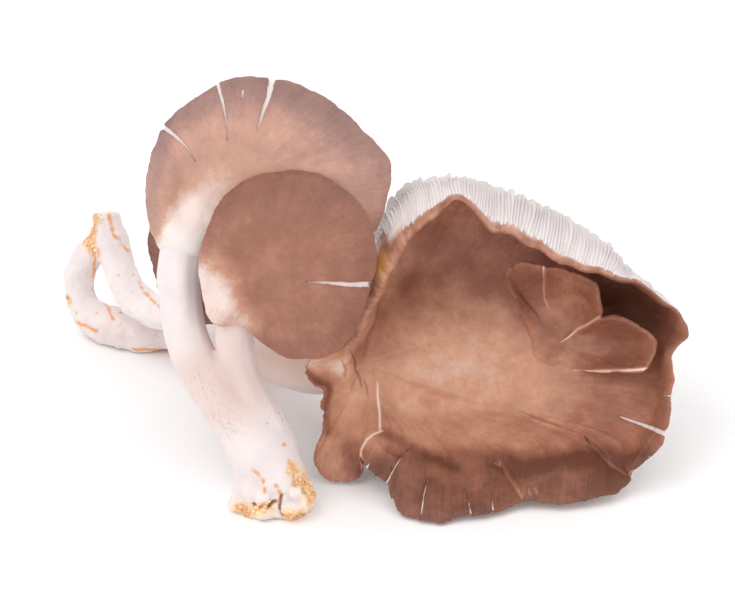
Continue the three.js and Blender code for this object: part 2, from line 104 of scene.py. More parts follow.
def on_ribs(points, start, outward):
    """A smooth line from hub to rim through four points, for many ribs at once."""
    p = np.stack(points)
    span = RIB_STATIONS[2:] - RIB_STATIONS[:-2]
    slopes = np.stack([start, (p[2] - p[0]) / span[0], (p[3] - p[1]) / span[1],
                       (p[3] - p[2]) / (RIB_STATIONS[3] - RIB_STATIONS[2])])
    i = np.searchsorted(RIB_STATIONS[1:3], outward)
    k = np.arange(len(outward))
    step = RIB_STATIONS[i + 1] - RIB_STATIONS[i]
    f = ((outward - RIB_STATIONS[i]) / step)[:, None]
    return (p[i, k] * (2 * f**3 - 3 * f**2 + 1) + p[i + 1, k] * (3 * f**2 - 2 * f**3)
            + slopes[i, k] * step[:, None] * (f**3 - 2 * f**2 + f)
            + slopes[i + 1, k] * step[:, None] * (f**3 - f**2))


print("a rib has its floor, its bend and its rim at", RIB_STATIONS[1:].tolist(), "of its length")

# %% The sheet
BEND_SHARE, BEND_RISE, FLOOR_SHARE, HUB_SLOPE = 0.74, 0.35, 0.55, 0.25
NORMAL_REACH = 0.025


class Sheet:
    """The middle surface of a cap. around runs once round the rim, anticlockwise as seen, from 0 to 1."""

    def __init__(self, hub, rims, bends=None, dome=0.0, swell=0.0, full_reach=30.0):
        self.hub = np.array(hub, float)
        self.rims = np.array(rims, float)
        self.bends = self.hub + (self.rims - self.hub) * BEND_SHARE
        self.bends[:, 2] = self.hub[2] + dome + (self.rims[:, 2] - self.hub[2]) * BEND_RISE
        for i, bend in enumerate(bends or []):
            if np.isscalar(bend):
                self.bends[i, 2] = bend
            else:
                self.bends[i] = bend
        self.floors = self.hub + (self.bends - self.hub) * FLOOR_SHARE
        flat = np.hypot(*(self.floors - self.hub)[:, :2].T)
        self.floors[:, 2] = self.hub[2] + swell * ease(flat / full_reach)
        self.reaches = np.linalg.norm(self.rims - self.hub, axis=1)[:, None]
        self.steps = np.linspace(0, len(rims), len(rims) * 12 + 1)
        loop = on_loop(self.rims, self.steps)
        self.lengths = np.concatenate([[0], np.cumsum(np.linalg.norm(np.diff(loop, axis=0), axis=1))])
        self.round = self.lengths[-1]

    def count(self, around):
        """The number along the rim's points, for a share of the rim's length."""
        return np.interp(np.mod(around, 1) * self.round, self.lengths, self.steps) % len(self.rims)

    def at(self, around, outward):
        """Board points, for shares of the rim's length and of the ribs."""
        count = self.count(around)
        floor = on_loop(self.floors, count)
        hub = np.broadcast_to(self.hub, floor.shape)
        start = (floor - hub) / RIB_STATIONS[1] * np.array([1, 1, HUB_SLOPE])
        return on_ribs([hub, floor, on_loop(self.bends, count), on_loop(self.rims, count)], start, outward)

    def normal(self, around, outward):
        """Which way the sheet faces. Near the hub, where the ribs crowd, it is straight out of the board."""
        low, high = np.maximum(outward - NORMAL_REACH, 0.01), np.minimum(outward + NORMAL_REACH, 1)
        out = self.at(around, high) - self.at(around, low)
        along = self.at(around + NORMAL_REACH, outward) - self.at(around - NORMAL_REACH, outward)
        facing = np.cross(out, along)
        facing /= np.linalg.norm(facing, axis=1)[:, None] + 1e-9
        upright = (1 - ease(outward / 0.5))[:, None]
        facing = facing * (1 - upright) + np.array([0, 0, 1]) * upright
        return facing / np.linalg.norm(facing, axis=1)[:, None]

    def reach(self, around):
        """How long the ribs are, in mm."""
        return on_loop(self.reaches, self.count(around))[:, 0]


# %% [markdown]
# ## The four mushrooms' places
# The numbers are board millimetres. The wide cap's ribs give the bend too, because its upper rim rolls
# forward and shows its gills, while its lower rim lies flat.

# %% The caps' rims
tall_sheet = Sheet([-49, 96, 2], [
    [7.4, 107.5, -5.5], [5.4, 111.6, -6], [0.1, 117.6, -7], [-8.8, 125.9, -8], [-17.7, 131.2, -8],
    [-27, 133.8, -8], [-38.4, 134.5, -8], [-46, 131.8, -8], [-55.7, 125.3, -8], [-62.5, 117.6, -7],
    [-66, 106.2, -5.5], [-66.2, 96.3, -4.5], [-64.6, 88, -4.5], [-60.4, 81.5, -4.5], [-55, 77.5, -4],
    [-49, 77.5, -4.5], [-43.5, 75, -6], [-35, 72, -7], [-24.6, 72, -7], [-14, 75, -7], [-4.5, 81, -7.4],
    [2.6, 88.5, -7.2], [6.4, 97, -6]], dome=5, swell=4)
small_sheet = Sheet([-30, 76, 18.5], [
    [2.8, 80.2, 10], [2.5, 86.1, 10], [0.7, 92.1, 10], [-2.9, 97.4, 10], [-7.6, 101.6, 9.5],
    [-13.5, 105.1, 7.6], [-23.1, 106.6, 7.2], [-32.5, 105.1, 7.6], [-38.4, 102.1, 8.2], [-43.2, 97.4, 9],
    [-46.8, 91.5, 9.5], [-49, 84, 10], [-50, 77, 11], [-48.8, 67.5, 12.5], [-46.6, 61, 14],
    [-41.4, 59.8, 15], [-36.6, 59.2, 14.5], [-31.3, 54.7, 12], [-24.5, 50.6, 11], [-16, 49.8, 11],
    [-8.8, 52, 10.5], [-3.6, 58, 10], [0.1, 67.8, 10], [2.1, 74, 10]], dome=4, swell=4, full_reach=22)
hidden_sheet = Sheet([-50, 76, -20], [
    [-13, 92, -21], [-15, 100, -21], [-21, 107, -22], [-31, 111.5, -22], [-42, 113, -22],
    [-54, 109, -22], [-62, 99, -21], [-65.4, 88, -21], [-65, 79, -22], [-62.6, 70, -24],
    [-57, 63, -25], [-49, 60, -26], [-40, 62, -24], [-28, 68, -22], [-18, 79, -21]], dome=2, swell=2)
flap_sheet = Sheet([57.5, 54.5, -34.6], [
    [61, 45.8, -36.6], [72.9, 45.7, -22], [83.4, 46.5, -12], [87, 53.4, -10], [83.4, 59.1, -11],
    [76.5, 62.1, -13], [70.5, 62.5, -17], [69.5, 67.5, -14], [68, 73, -11], [57.9, 77, -11],
    [48.9, 79, -13], [42.3, 77.7, -13], [41.5, 74, -17], [44.5, 69.5, -26], [46.8, 63.5, -35],
    [48.5, 57, -38.8], [50, 50.5, -38.9], [55, 46.6, -38.6]], dome=0, swell=1)
print("rims in mm:", *[round(s.round) for s in (tall_sheet, small_sheet, hidden_sheet, flap_sheet)])

# %% The wide cap's ribs, each as its rim point and its bend
WIDE_RIBS = [
    ([92.4, 42, -8], [83, 43, -25]), ([91.8, 51.5, -8], [83, 51.5, -27]), ([96, 57, -10], [85, 60, -28]),
    ([94.5, 62.1, -14], [81.5, 65.5, -31]), ([86.4, 69, -12], [79, 69.5, -30]),
    ([81, 72, -3], [76.5, 73, -28]), ([75.9, 73.2, 1], [73.5, 77.5, -28]),
    ([69.9, 74.5, 3], [69.5, 82, -28]), ([64.8, 75, 4], [64.5, 86, -28]),
    ([59.4, 77.7, 3], [59, 89.5, -28]), ([53.4, 81.6, 2], [53, 92.5, -28]),
    ([47.4, 84.6, 2], [47.5, 95, -28]), ([42.9, 86.6, 2], [42.5, 97.5, -27]),
    ([37.8, 87.5, 3], [37, 99, -26]), ([33.3, 93, 4], [31.5, 100.5, -24]), ([27.9, 98, 4], [25.5, 101, -20]),
    ([23, 95, 4], [19.5, 101, -18]), ([17.4, 88.8, 4], [14, 100, -17]), ([10.5, 81.6, 4], [9, 94.5, -14.5]),
    ([5.7, 75.5, 4], [5, 87.5, -11.2]), ([1.8, 68, 3], [3.5, 74.5, -15]), ([-1.5, 61, 2], [-2, 66, -16]),
    ([-5, 54, -3], [-7.5, 57.5, -18]), ([-12, 51, -8], [-10, 51, -20]),
    ([-19.5, 48.5, -9], [-13.6, 47.5, -20]), ([-17.1, 43.5, -12], -21), ([-12.8, 39.5, -13], -21),
    ([-13.5, 34, -13], -21), ([-13.4, 27, -15], -21),
    ([-16, 18.5, -17], -21), ([-11, 12.6, -17], -21), ([-4, 12.5, -16], [-1.5, 23, -20]),
    ([-1.3, 18.5, -12], [1, 25.5, -19]), ([0.2, 15, -9], [4.8, 26, -19]), ([5, 11.2, -8], [8.4, 25, -20]),
    ([8, 5, -4], [12.3, 24, -21]), ([13, 1.5, -1], [16, 22.5, -21]), ([21.9, 0, 1], [22, 21, -21]),
    ([31.5, 2, 0], [31, 20, -21]), ([40, 3.4, -2], [40, 20, -21]), ([46.8, 6, -5], [47.4, 21.5, -23]),
    ([57.9, 5.4, -5], [58.5, 23.4, -25]), ([69, 6.5, -6], [66.9, 24, -25]), ([78, 11, -10], [74, 24.5, -22]),
    ([80.5, 15.5, -8], [76, 26, -22]), ([86, 20.5, -7], [79.5, 30, -22]),
    ([90.2, 27, -7], [82.5, 35.5, -23]),
]
wide_sheet = Sheet([-1, 48, -24], [rim for rim, _ in WIDE_RIBS], [bend for _, bend in WIDE_RIBS],
                   swell=-14, full_reach=42)
print("the wide cap's rim is", round(wide_sheet.round), "mm long")

# %% [markdown]
# ## A grid closed to a skin
# Cap, gills and stem are all closed skins. Each starts as a flat grid from bmesh whose vertices are carried
# to their places: its two sides meet in a seam, and its first and last rows shrink to the two sides of the
# hub, or to the two ends of a stem. Seam and ends are then welded. Its rows and columns stay, which keeps
# the ribs of a gill or the fibres of a stem in line with the mesh.

# %% Closing a grid
WELD = 1e-7


def closed_grid(columns, rows, place):
    """A closed bmesh. place(column, row) gives board points in mm, and values for each vertex by name."""
    bm = bmesh.new()
    bmesh.ops.create_grid(bm, x_segments=columns, y_segments=rows, size=1)
    flat = np.array([v.co[:] for v in bm.verts])
    column = np.rint((flat[:, 0] + 1) / 2 * columns).astype(int)
    row = np.rint((1 - flat[:, 1]) / 2 * rows).astype(int)
    end = (row == 0) | (row == rows)
    seam = end | (column % columns == 0)
    points, values = place(np.where(end, 0, column % columns), row)
    order = bm.verts.layers.int.new("order")
    for i, (vertex, point) in enumerate(zip(bm.verts, from_board(points).tolist())):
        vertex.co = point
        vertex[order] = i
    bmesh.ops.remove_doubles(bm, verts=[v for v, open_edge in zip(bm.verts, seam) if open_edge], dist=WELD)
    kept = np.array([v[order] for v in bm.verts])
    bm.verts.layers.int.remove(order)
    return bm, {name: np.asarray(value)[kept] for name, value in values.items()}


# %% From a bmesh to a piece
def make_piece(name, bm, attributes):
    """An object from a bmesh, shaded smooth, with one number or one vector for each vertex by name."""
    mesh = bpy.data.meshes.new(name)
    bm.to_mesh(mesh)
    bm.free()
    mesh.shade_smooth()
    for key, values in attributes.items():
        vector = np.ndim(values) == 2
        layer = mesh.attributes.new(key, "FLOAT_VECTOR" if vector else "FLOAT", "POINT")
        layer.data.foreach_set("vector" if vector else "value", np.asarray(values, np.float32).ravel())
    piece = bpy.data.objects.new(name, mesh)
    bpy.context.scene.collection.objects.link(piece)
    print(name, len(mesh.vertices), "vertices", len(mesh.polygons), "faces")
    return piece


# %% [markdown]
# ## Marks on the skin
# The caps are split by small tears that show white flesh. Each is a line on the board that widens from its
# tip to its mouth. Every vertex keeps how many half-widths it lies from the nearest tear, so the material
# can draw an edge that is sharper than the mesh.

# %% Distance to a line
def to_line(points, line):
    """How far each board point lies from a line of [right, up] points, and how far along it, from 0 to 1."""
    line = np.array(line, float)
    pieces = np.diff(line, axis=0)
    lengths = np.linalg.norm(pieces, axis=1)
    before = np.concatenate([[0], np.cumsum(lengths)])
    best, along = np.full(len(points), 1e9), np.zeros(len(points))
    for start, piece, length, done in zip(line, pieces, lengths, before):
        t = np.clip(((points[:, :2] - start) @ piece) / length**2, 0, 1)
        away = np.linalg.norm(points[:, :2] - start - t[:, None] * piece, axis=1)
        nearer = away < best
        best[nearer], along[nearer] = away[nearer], (done + t[nearer] * length) / before[-1]
    return best, along


# %% Tears and soft strokes
FAR = 6.0
TEAR_TIP = 0.2
TEAR_ROUGH, TEAR_ROUGH_MM = 0.3, 1.6


def tear_distance(points, tears):
    """Half-widths to the nearest tear. A tear is (width at its mouth, [tip, ..., mouth])."""
    nearest = np.full(len(points), FAR)
    for width, line in tears:
        away, along = to_line(points, line)
        nearest = np.minimum(nearest, away / (width / 2 * (TEAR_TIP + (1 - TEAR_TIP) * along)))
    return nearest + TEAR_ROUGH * lumps(points, TEAR_ROUGH_MM, 4.9) * (nearest < FAR / 2)


def shaded(points, strokes, taper=0.0):
    """Adds up soft strokes. A stroke is (amount, half its width in mm, line). taper thins its first half."""
    total = np.zeros(len(points))
    for amount, width, line in strokes:
        away, along = to_line(points, line)
        total += amount * np.exp(-((away / (width * (1 - taper * (1 - ease(along / 0.5))))) ** 2))
    return total


# %% [markdown]
# ### Lobes that lie over one another
# A crowded margin folds, and one lobe lies over the next. A step in the skin along a line shows the same
# edge and the same shadow, and it needs no second piece.

# %% Folds
STEP_MM, DIP, DIP_MM = 0.6, 0.35, 2
FOLD_RISES, FOLD_END_MM = 0.35, 4


def folded(points, folds):
    """The height in mm of lobes that lie over their neighbours. A fold is (height, fade, line), and the side
    to the left of the line, as one walks along it, is the upper one. The other side dips a little."""
    total = np.zeros(len(points))
    for height, fade, line in folds:
        away, along = to_line(points, line)
        line = np.array(line, float)
        ways = np.diff(line, axis=0)
        last = len(ways) - 1
        k = np.clip((along * len(ways)).astype(int), 0, last)
        side = ways[k, 0] * (points[:, 1] - line[k, 1]) - ways[k, 1] * (points[:, 0] - line[k, 0])
        over = ease((np.sign(side) * away + STEP_MM / 2) / STEP_MM)
        inside = ease(along / FOLD_RISES) * (along < 1) + (along >= 1) * np.exp(-away / FOLD_END_MM)
        dip = DIP * (1 - over) * np.exp(-away / DIP_MM)
        total += height * inside * (over * np.exp(-away / fade) - dip)
    return total


# %% [markdown]
# ## The brown caps
# A cap's skin and flesh are one closed sheet, thick over the stem and thin at the margin. Its margin is
# nicked and slightly wavy, and the skin has shallow dents and radial wrinkles, all from seeded smooth
# noise, so the shape is the same each time.

# %% The flesh and the margin, with lumps of the margin as amount, size in mm and seed
FLESH_AT_HUB, FLESH_AT_RIM = 5.2, 1.7
NO_REACH, FULL_REACH = 14, 42
RAGGED = [(0.9, 9, 3.1), (0.55, 3.2, 7.7), (0.35, 1.3, 9.2)]


def long_rib(sheet, around):
    """0 where the rib is short and the flesh thin, 1 where the rib is long."""
    return ease((sheet.reach(around) - NO_REACH) / (FULL_REACH - NO_REACH))


def flesh_half(sheet, around, outward, flesh=1.0):
    """Half of the cap's thickness in mm. It thins outwards, and sooner along short ribs."""
    full = flesh * FLESH_AT_HUB
    halfway = FLESH_AT_RIM + (full - FLESH_AT_RIM) * 0.5 * long_rib(sheet, around)
    inner = full + (halfway - full) * ease(outward / 0.5)
    return (inner + (FLESH_AT_RIM - inner) * ease(outward)) / 2


def margin(sheet, around, nick, tears):
    """How far out the ragged margin ends, as a share of the rib, with a notch where a tear opens."""
    turn = 2 * math.pi * around
    ring = np.column_stack([np.cos(turn), np.sin(turn), np.zeros(len(around))]) * sheet.round / (2 * math.pi)
    ragged = sum(amount * lumps(ring, size, seed) for amount, size, seed in RAGGED)
    rim = sheet.at(around, np.ones(len(around)))
    notch = np.zeros(len(around))
    for width, line in tears:
        away = np.linalg.norm(rim[:, :2] - line[-1], axis=1)
        notch = np.maximum(notch, (0.4 + 0.6 * width) * (1 - ease(away / (0.6 + 0.7 * width))))
    nicks = nick(rim) if callable(nick) else nick
    return 1 - (nicks * (ragged + 0.5) + notch) / sheet.reach(around)


# %% Relief of skin and gills
WRINKLE = 0.28
RIB_LENGTH = 60


def fibres(sheet, around, outward):
    """Places along the ribs, for patterns that run outwards: mm around, and RIB_LENGTH from hub to rim."""
    turn = 2 * math.pi * around
    ring = sheet.round / (2 * math.pi)
    return np.column_stack([np.cos(turn) * ring, np.sin(turn) * ring, outward * RIB_LENGTH])


def relief(sheet, outward, middle, fibre):
    """How far skin and gills stand off the smooth sheet, in mm: dents, swells, wrinkles and a wavy margin.
    The cap leaves its manner on the sheet, so that its gills follow it."""
    wave, dent, swells = sheet.manner
    wrinkle = lumps(fibre * [1, 1, 0.12], 3.5, 2.2) * ease((outward - 0.3) / 0.5)
    total = dent * lumps(middle, 13, 5.5) + 0.3 * dent * lumps(middle, 5, 8.8) + WRINKLE * wrinkle
    total += wave * lumps(fibre * [1, 1, 0.25], 7, 4.4) * ease((outward - 0.72) / 0.28)
    return total * ease(outward / 0.12) + shaded(middle, swells)


# %% A cap
ROUNDED_EDGE = 0.03
ROLL_FROM, ROLL_OVER = 0.84, 0.1
CROWDED_TO_RIM = 1.35
TEAR_DEPTH = 1.1
CREAM_BELOW = 0.35


def cap_piece(name, sheet, columns, rows, under_rows=34, nick=0.8, wave=0.7, dent=0.7, flesh=1.0, tears=(),
              folds=(), swells=(), band=2.0, lip=None, lift=None, paint=None, ochre=()):
    """A cap as a piece. lift(points) moves the upper side out of the board. paint(points, outward) gives
    its tone, which is white flesh below 0, cream at 0 and dark brown at 1. nick, and band, the mm of brown
    margin beyond the gills, are numbers or functions of the rim's points. lip(rim) thickens the margin."""
    over, below = (1 - (1 - np.linspace(0, 1, n)) ** CROWDED_TO_RIM for n in (rows, under_rows))
    outs = np.concatenate([over, below[-2::-1]])
    ends = margin(sheet, np.arange(columns) / columns, nick, tears)
    sheet.manner = wave, dent, swells

    def place(column, row):
        around = column / columns
        share = outs[row]
        outward = share * ends[column]
        upper = np.where(row < rows, 1.0, -1.0)
        rim = sheet.at(around, np.ones(len(around)))
        rolled = lip(rim) if lip else np.zeros(len(around))
        rounding = ROUNDED_EDGE + rolled / sheet.reach(around)
        edge = np.clip((share - (1 - rounding)) / rounding, 0, 1)
        half = flesh_half(sheet, around, outward, flesh) + rolled * ease((share - ROLL_FROM) / ROLL_OVER)
        half *= np.sqrt(1 - edge**2)
        middle = sheet.at(around, outward)
        facing = sheet.normal(around, outward)
        fibre = fibres(sheet, around, outward)
        brown = (1 - share) * sheet.reach(around) / (band(rim) if callable(band) else band)
        off = relief(sheet, outward, middle, fibre)
        off += folded(middle, folds) * np.where(upper > 0, 1, 1 - ease(brown))
        near = tear_distance(middle, tears)
        groove = np.where(upper > 0, (1 - ease(near - 0.4)) * half * TEAR_DEPTH, 0)
        points = middle + facing * (upper * half + off - groove)[:, None]
        if lift:
            points = np.where((upper > 0)[:, None], lift(points), points)
        tone = paint(points, outward) if paint else outward
        pale = np.where(upper > 0, ease(-tone / CREAM_BELOW), ease((brown - 0.9) / 0.4))
        tone = np.where(upper > 0, tone, 0.6 + 0.25 * lumps(fibre, 2.5, 3.9))
        return points, {"tear": near, "fibre": fibre, "under": pale, "tone": tone, "reach": outward,
                        "ochre": shaded(points, ochre)}

    return make_piece(name, *closed_grid(columns, rows + under_rows - 2, place))


# %% [markdown]
# ## Lines of a stem
# A stem is a tube round a smooth line, with its radius as a fourth number. Along its length run fine
# ridges, the bundles of its fibres.

# %% Stem lines, as right, up, out and radius
TALL_STEM = [
    [-47.5, 105.5, -0.3, 0.8], [-49.4, 100.5, -1.8, 2.8], [-51.6, 94, -1.6, 4.9], [-54.2, 86, -0.2, 7.3],
    [-56.1, 76.5, 0, 7], [-55.8, 67, 0, 6.3], [-54.4, 57, -0.5, 6.2], [-50.7, 47.7, -1.5, 6.6],
    [-44.7, 39, -3, 7.6], [-37.8, 31, -5, 8.8], [-32.3, 23, -7, 9.8], [-29, 14.5, -9, 11],
    [-27.8, 8, -10.5, 11.6], [-27.6, 2, -11, 11]]
SMALL_STEM = [
    [-31, 76, 15.3, 1.2], [-34.5, 71.5, 13, 4], [-39.3, 62, 9, 5.9], [-39.8, 53.5, 3.5, 5.9],
    [-38.4, 46, -2.5, 6.1], [-35.6, 38, -5.2, 6.9], [-32.4, 30, -6.5, 8], [-29.2, 21, -8, 8.8],
    [-27.6, 14, -9.5, 8.6], [-27, 8, -10.5, 6]]
HIDDEN_STEM = [
    [-43.5, 89, -19, 0.8], [-46.5, 83, -20.8, 3.2], [-51, 75, -28, 5.6], [-54.5, 69, -38, 5.5],
    [-59, 63.5, -50, 5.2], [-64.5, 63.9, -62, 5], [-68.7, 66.9, -68, 5], [-72, 70.5, -72, 5],
    [-74.4, 75, -75, 5], [-76.5, 81, -78, 5.1], [-78, 87, -79, 5], [-79, 94, -79, 4]]
WIDE_STEM = [
    [26, 48, -33, 0.8], [16, 48, -31.2, 3.4], [6, 48, -31.6, 7.2], [-5, 48, -35.5, 8.6],
    [-16, 46.5, -44, 7.6], [-30, 50, -58, 6.8], [-45, 54, -70, 6], [-59.7, 57.6, -79, 5.6],
    [-68.1, 57.9, -80, 6], [-75.6, 59.4, -82, 6.2], [-82, 61.5, -84, 5.6], [-86, 66, -85, 4.9],
    [-87.4, 73, -84.5, 4.4], [-85.5, 80, -82.5, 4.4], [-81, 85.5, -80, 3.6], [-78.5, 88, -79, 3]]


def on_stem(line, station):
    """Points and radii along a stem's line, for stations from 0 to 1."""
    line = np.array(line, float)
    count = np.clip(station, 0, 1) * (len(line) - 1)
    i = np.minimum(np.floor(count).astype(int), len(line) - 2)
    f = (count - i)[:, None]
    before = np.maximum(np.arange(len(line)) - 1, 0)
    after = np.minimum(np.arange(len(line)) + 1, len(line) - 1)
    slopes = (line[after] - line[before]) / (after - before)[:, None]
    points = (line[i] * (2 * f**3 - 3 * f**2 + 1) + line[i + 1] * (3 * f**2 - 2 * f**3)
              + slopes[i] * (f**3 - 2 * f**2 + f) + slopes[i + 1] * (f**3 - f**2))
    radii = line[i, 3] + (line[i + 1, 3] - line[i, 3]) * ease(f[:, 0])
    return points[:, :3], radii


print("the tall stem is", round(max(r for *_, r in TALL_STEM) * 2), "mm thick at its foot")

# %% [markdown]
# ## The tall cap
# On the real mushroom the white stem flows out into the cap with no edge between them. So the cap's upper
# side rises over the stem in a smooth swell, and dives under the stem's own surface where the cap ends.

# %% The swell over the stem
SWELL_SPAN = 0.05, 0.46
SWELL_SOFTNESS = 2.4


def over_stem(points):
    """Raises the upper side of the tall cap where the stem lies in it. The swell sinks away at both ends, at
    the lower one under the stem's own surface."""
    line, radii = on_stem(TALL_STEM, np.linspace(*SWELL_SPAN, 60))
    away = np.linalg.norm(points[:, None, :2] - line[None, :, :2], axis=2)
    height = (line[:, 2] + radii)[None] - 0.6 * away**2 / radii[None]
    sink = 5 * ease((points[:, 1] - 84) / 15) + 3.4 * ease((87 - points[:, 1]) / 8)
    gap = np.clip((height.max(axis=1) + 0.3 - sink - points[:, 2]) / SWELL_SOFTNESS, -30, 30)
    raised = points.copy()
    raised[:, 2] += SWELL_SOFTNESS * np.log1p(np.exp(gap))
    return raised


print("the swell is", round(on_stem(TALL_STEM, np.array(SWELL_SPAN))[1].max() * 2), "mm wide at its foot")

# %% The tall cap
CREAM_PATH = [[-56, 76], [-54.5, 86], [-50, 93.5], [-44, 99], [-37, 103]]


def tall_tone(points, outward):
    """Tan, mauve at the edge and most of all at the top, and white to cream where the stem runs out."""
    away, along = to_line(points, CREAM_PATH)
    away = away + 1.2 * lumps(points, 5, 1.7)
    pale = (1 - ease((away - 4.5 + 3 * along) / (7 + 4 * along))) * (1 - 0.7 * ease((along - 0.5) / 0.5))
    target = -0.4 + 0.45 * ease(along / 0.75)
    high = ease((points[:, 1] - 98) / 22)
    edge = ease((outward - 0.62) / 0.36)
    tone = 0.4 + (0.1 + 0.32 * high) * edge + 0.08 * ease((-52 - points[:, 0]) / 12)
    return tone + (target - tone) * pale


TALL_TEARS = [
    (1.3, [[-51.6, 109.5], [-53.6, 112.9], [-57.4, 116.6], [-61.8, 120]]),
    (1.2, [[-41.7, 115.5], [-42, 120], [-43, 126], [-45.4, 134.6]]),
    (2.0, [[-32.7, 118.5], [-31.4, 123.2], [-29.6, 128], [-28.2, 135]]),
    (0.8, [[-37.6, 127], [-37.2, 129.5]]),
    (0.4, [[-64, 107.5], [-66.5, 107.8]]),
    (0.5, [[-50.4, 127], [-51.6, 129.6]]),
]
tall_cap = cap_piece("tall_cap_skin", tall_sheet, 560, 76, nick=0.5, wave=0.4, dent=0.5, tears=TALL_TEARS,
                     lift=over_stem, paint=tall_tone)

# %% [markdown]
# ## The small cap
# It is round and a little darker, with a pale patch where its skin thins towards the stem at the lower
# left. Such a patch could be a painted image. Here its tone fades with the distance from a line, so nothing
# has to be painted and its edge stays soft at any size.

# %% The small cap
def small_tone(points, outward):
    """Brown, a little darker at the top, and cream at the lower left."""
    away, along = to_line(points, [[-50, 72], [-45.5, 65], [-39, 61]])
    away = away + 1.6 * lumps(points, 5, 3.3)
    pale = (1 - ease((away - 1) / (15 - 6 * along))) * (1 - 0.35 * ease((along - 0.6) / 0.4))
    edge = ease((outward - 0.95) / 0.05)
    tone = 0.62 + 0.1 * ease((points[:, 1] - 84) / 16) + 0.1 * outward**3 - 0.08 * edge
    return tone + (-0.02 - tone) * pale


small_cap = cap_piece("small_cap_skin", small_sheet, 480, 64, nick=0.4, wave=0.35, dent=0.4,
                      tears=[(1.8, [[-17.7, 72.9], [-12, 72.7], [-6, 72.2], [2.4, 72.3]])], paint=small_tone)
hidden_cap = cap_piece("hidden_cap_skin", hidden_sheet, 360, 50, nick=0.8, wave=0.6)

# %% [markdown]
# ## The wide cap
# Its floor is tan and streaked, its lobed margin is darker, and its rolled upper rim shades what lies under
# it. The lobes of its lower edge lie over one another. Each could be a piece of its own, but a step in one
# skin along a line looks the same and leaves nothing open. The torn flap inside is a small sheet that grows
# out of the floor and takes the floor's tone there.

# %% Shades and lines on the wide cap, as amount, half the width in mm and line
# Most of these strokes are painted shade: under the rolled upper rim and inside its right side, along the
# inner edge of the lip, at the flap's left edge, along the crease between the floor and the lower lobes, and
# over the lobes. The pale stroke on the lip is a painted highlight. The other pale ones lighten the lower
# left of the floor and give cream flesh at the torn left edge, where two dark strokes darken the curled rim.
WIDE_SHADES = [
    (0.1, 10, [[21, 87], [30, 90], [42, 85], [55, 80]]), (0.17, 7, [[14, 71], [25, 74], [36, 73]]),
    (-0.1, 7, [[13, 43], [15, 35]]), (0.08, 2.2, [[3.5, 60], [9.5, 70], [15.5, 78], [20.5, 85]]),
    (-0.12, 3, [[5.5, 78], [7.5, 70]]),
    (0.16, 5, [[44, 68], [49, 60], [55, 52]]),
    (0.22, 3, [[38, 18.5], [46, 17], [56, 19], [64, 21], [70, 21]]),
    (0.26, 1.6, [[5, 27.6], [13, 23.8], [20, 20], [27, 17]]),
    (0.24, 3.5, [[-5, 22], [-2, 15]]),
    (0.4, 6, [[70, 70], [78, 67], [84, 61]]),
    (0.3, 1.2, [[-19.5, 47.5], [-16, 43.6], [-12, 41.8]]),
    (0.34, 1.2, [[-11.4, 40], [-12.6, 34], [-12, 28]]),
    (-0.4, 3, [[-17, 48], [-11, 48.5], [-8, 47]]),
    (-0.2, 6, [[-5, 40], [-4, 31]]),
]
# The dark lines are painted shade in cracks and creases; the pale ones run along fold edges and a crease.
WIDE_LINES = [
    (0.3, 0.4, [[-5.2, 52.5], [-3.6, 49.4], [-3.6, 46.6], [-2.2, 44.2], [-1.6, 41.5]]),
    (0.3, 0.4, [[-7.5, 49.5], [-6.4, 46.6], [-6.8, 44.8]]),
    (0.25, 0.4, [[-1, 43.6], [-0.2, 41.4], [0.2, 39]]),
    (0.22, 0.4, [[46, 34], [50, 32.4], [55, 30.6], [58, 29.6]]),
    (-0.7, 0.4, [[5.1, 28.3], [2, 27.2], [-0.2, 25.4], [-1.8, 22.5], [-1.9, 19.6], [-1.3, 17.2]]),
    (-0.6, 0.35, [[3.2, 42.7], [3.2, 38.5], [3.8, 33.5], [3.9, 28.3]]),
    (-0.4, 0.35, [[36.6, 19.2], [41.1, 17.3], [44.3, 12], [46.5, 8.1]]),
    (-0.35, 0.35, [[68.7, 22.5], [73.2, 18], [79.5, 14.1]]),
    (-0.4, 0.3, [[48.5, 11], [49, 9]]), (-0.4, 0.3, [[50.4, 11.4], [51, 9.4]]),
]


def wide_tone(points, outward):
    """Tan in the middle and darker at the lower lobes, on the right and at the lip; the strokes add painted
    shade.
    """
    low = ease((25 - points[:, 1]) / 6) * ease((points[:, 0] + 4) / 6)
    right = ease((points[:, 0] - 58) / 14)
    centre = ease(1 - np.linalg.norm((points[:, :2] - [33, 48]) / [40, 32], axis=1))
    lip = ease((outward - 0.8) / 0.2)
    strokes = shaded(points, WIDE_SHADES) + shaded(points, WIDE_LINES, taper=0.6)
    return 0.52 + 0.3 * low + 0.16 * right + 0.08 * lip - 0.25 * centre + strokes


print(len(WIDE_SHADES), "soft shades and", len(WIDE_LINES), "fine lines")

# %% Tears, folds and swells of the wide cap
WIDE_TEARS = [
    (1.6, [[76, 32.2], [84, 29.4], [90.3, 27.0]]),
    (0.7, [[12.9, 22.5], [9, 18], [5.4, 11.5]]),
    (0.8, [[1.5, 17.5], [-0.8, 14.2]]),
    (0.6, [[18.6, 13.5], [17.1, 8.1], [16.3, 2.4]]),
    (0.6, [[29.1, 10.4], [30.5, 6.6], [31.2, 2.4]]),
    (0.5, [[37.4, 8.1], [37.8, 4.2]]),
    (0.5, [[88, 38.4], [92, 38.7]]),
    (0.4, [[84, 20.5], [87, 19.5]]),
]
WIDE_FOLDS = [
    (2.2, 9, [[5.1, 28.3], [1.5, 26.9], [-0.9, 24.9], [-1.8, 22], [-1.5, 18], [0, 13.5]]),
    (1.8, 7, [[12.9, 22.5], [9, 18], [5.4, 11.5]]),
    (1.2, 5, [[18.6, 13.5], [17.1, 8.1], [16.3, 2.4]]),
    (-1.1, 5, [[29.1, 10.4], [30.5, 6.6], [31.2, 2.4]]),
    (2.4, 9, [[36.6, 19.2], [41.1, 17.3], [44.3, 12], [46.5, 8.1]]),
    (2.0, 9, [[57.9, 27.9], [68.7, 22.5], [73.2, 18], [79.5, 14.1]]),
]
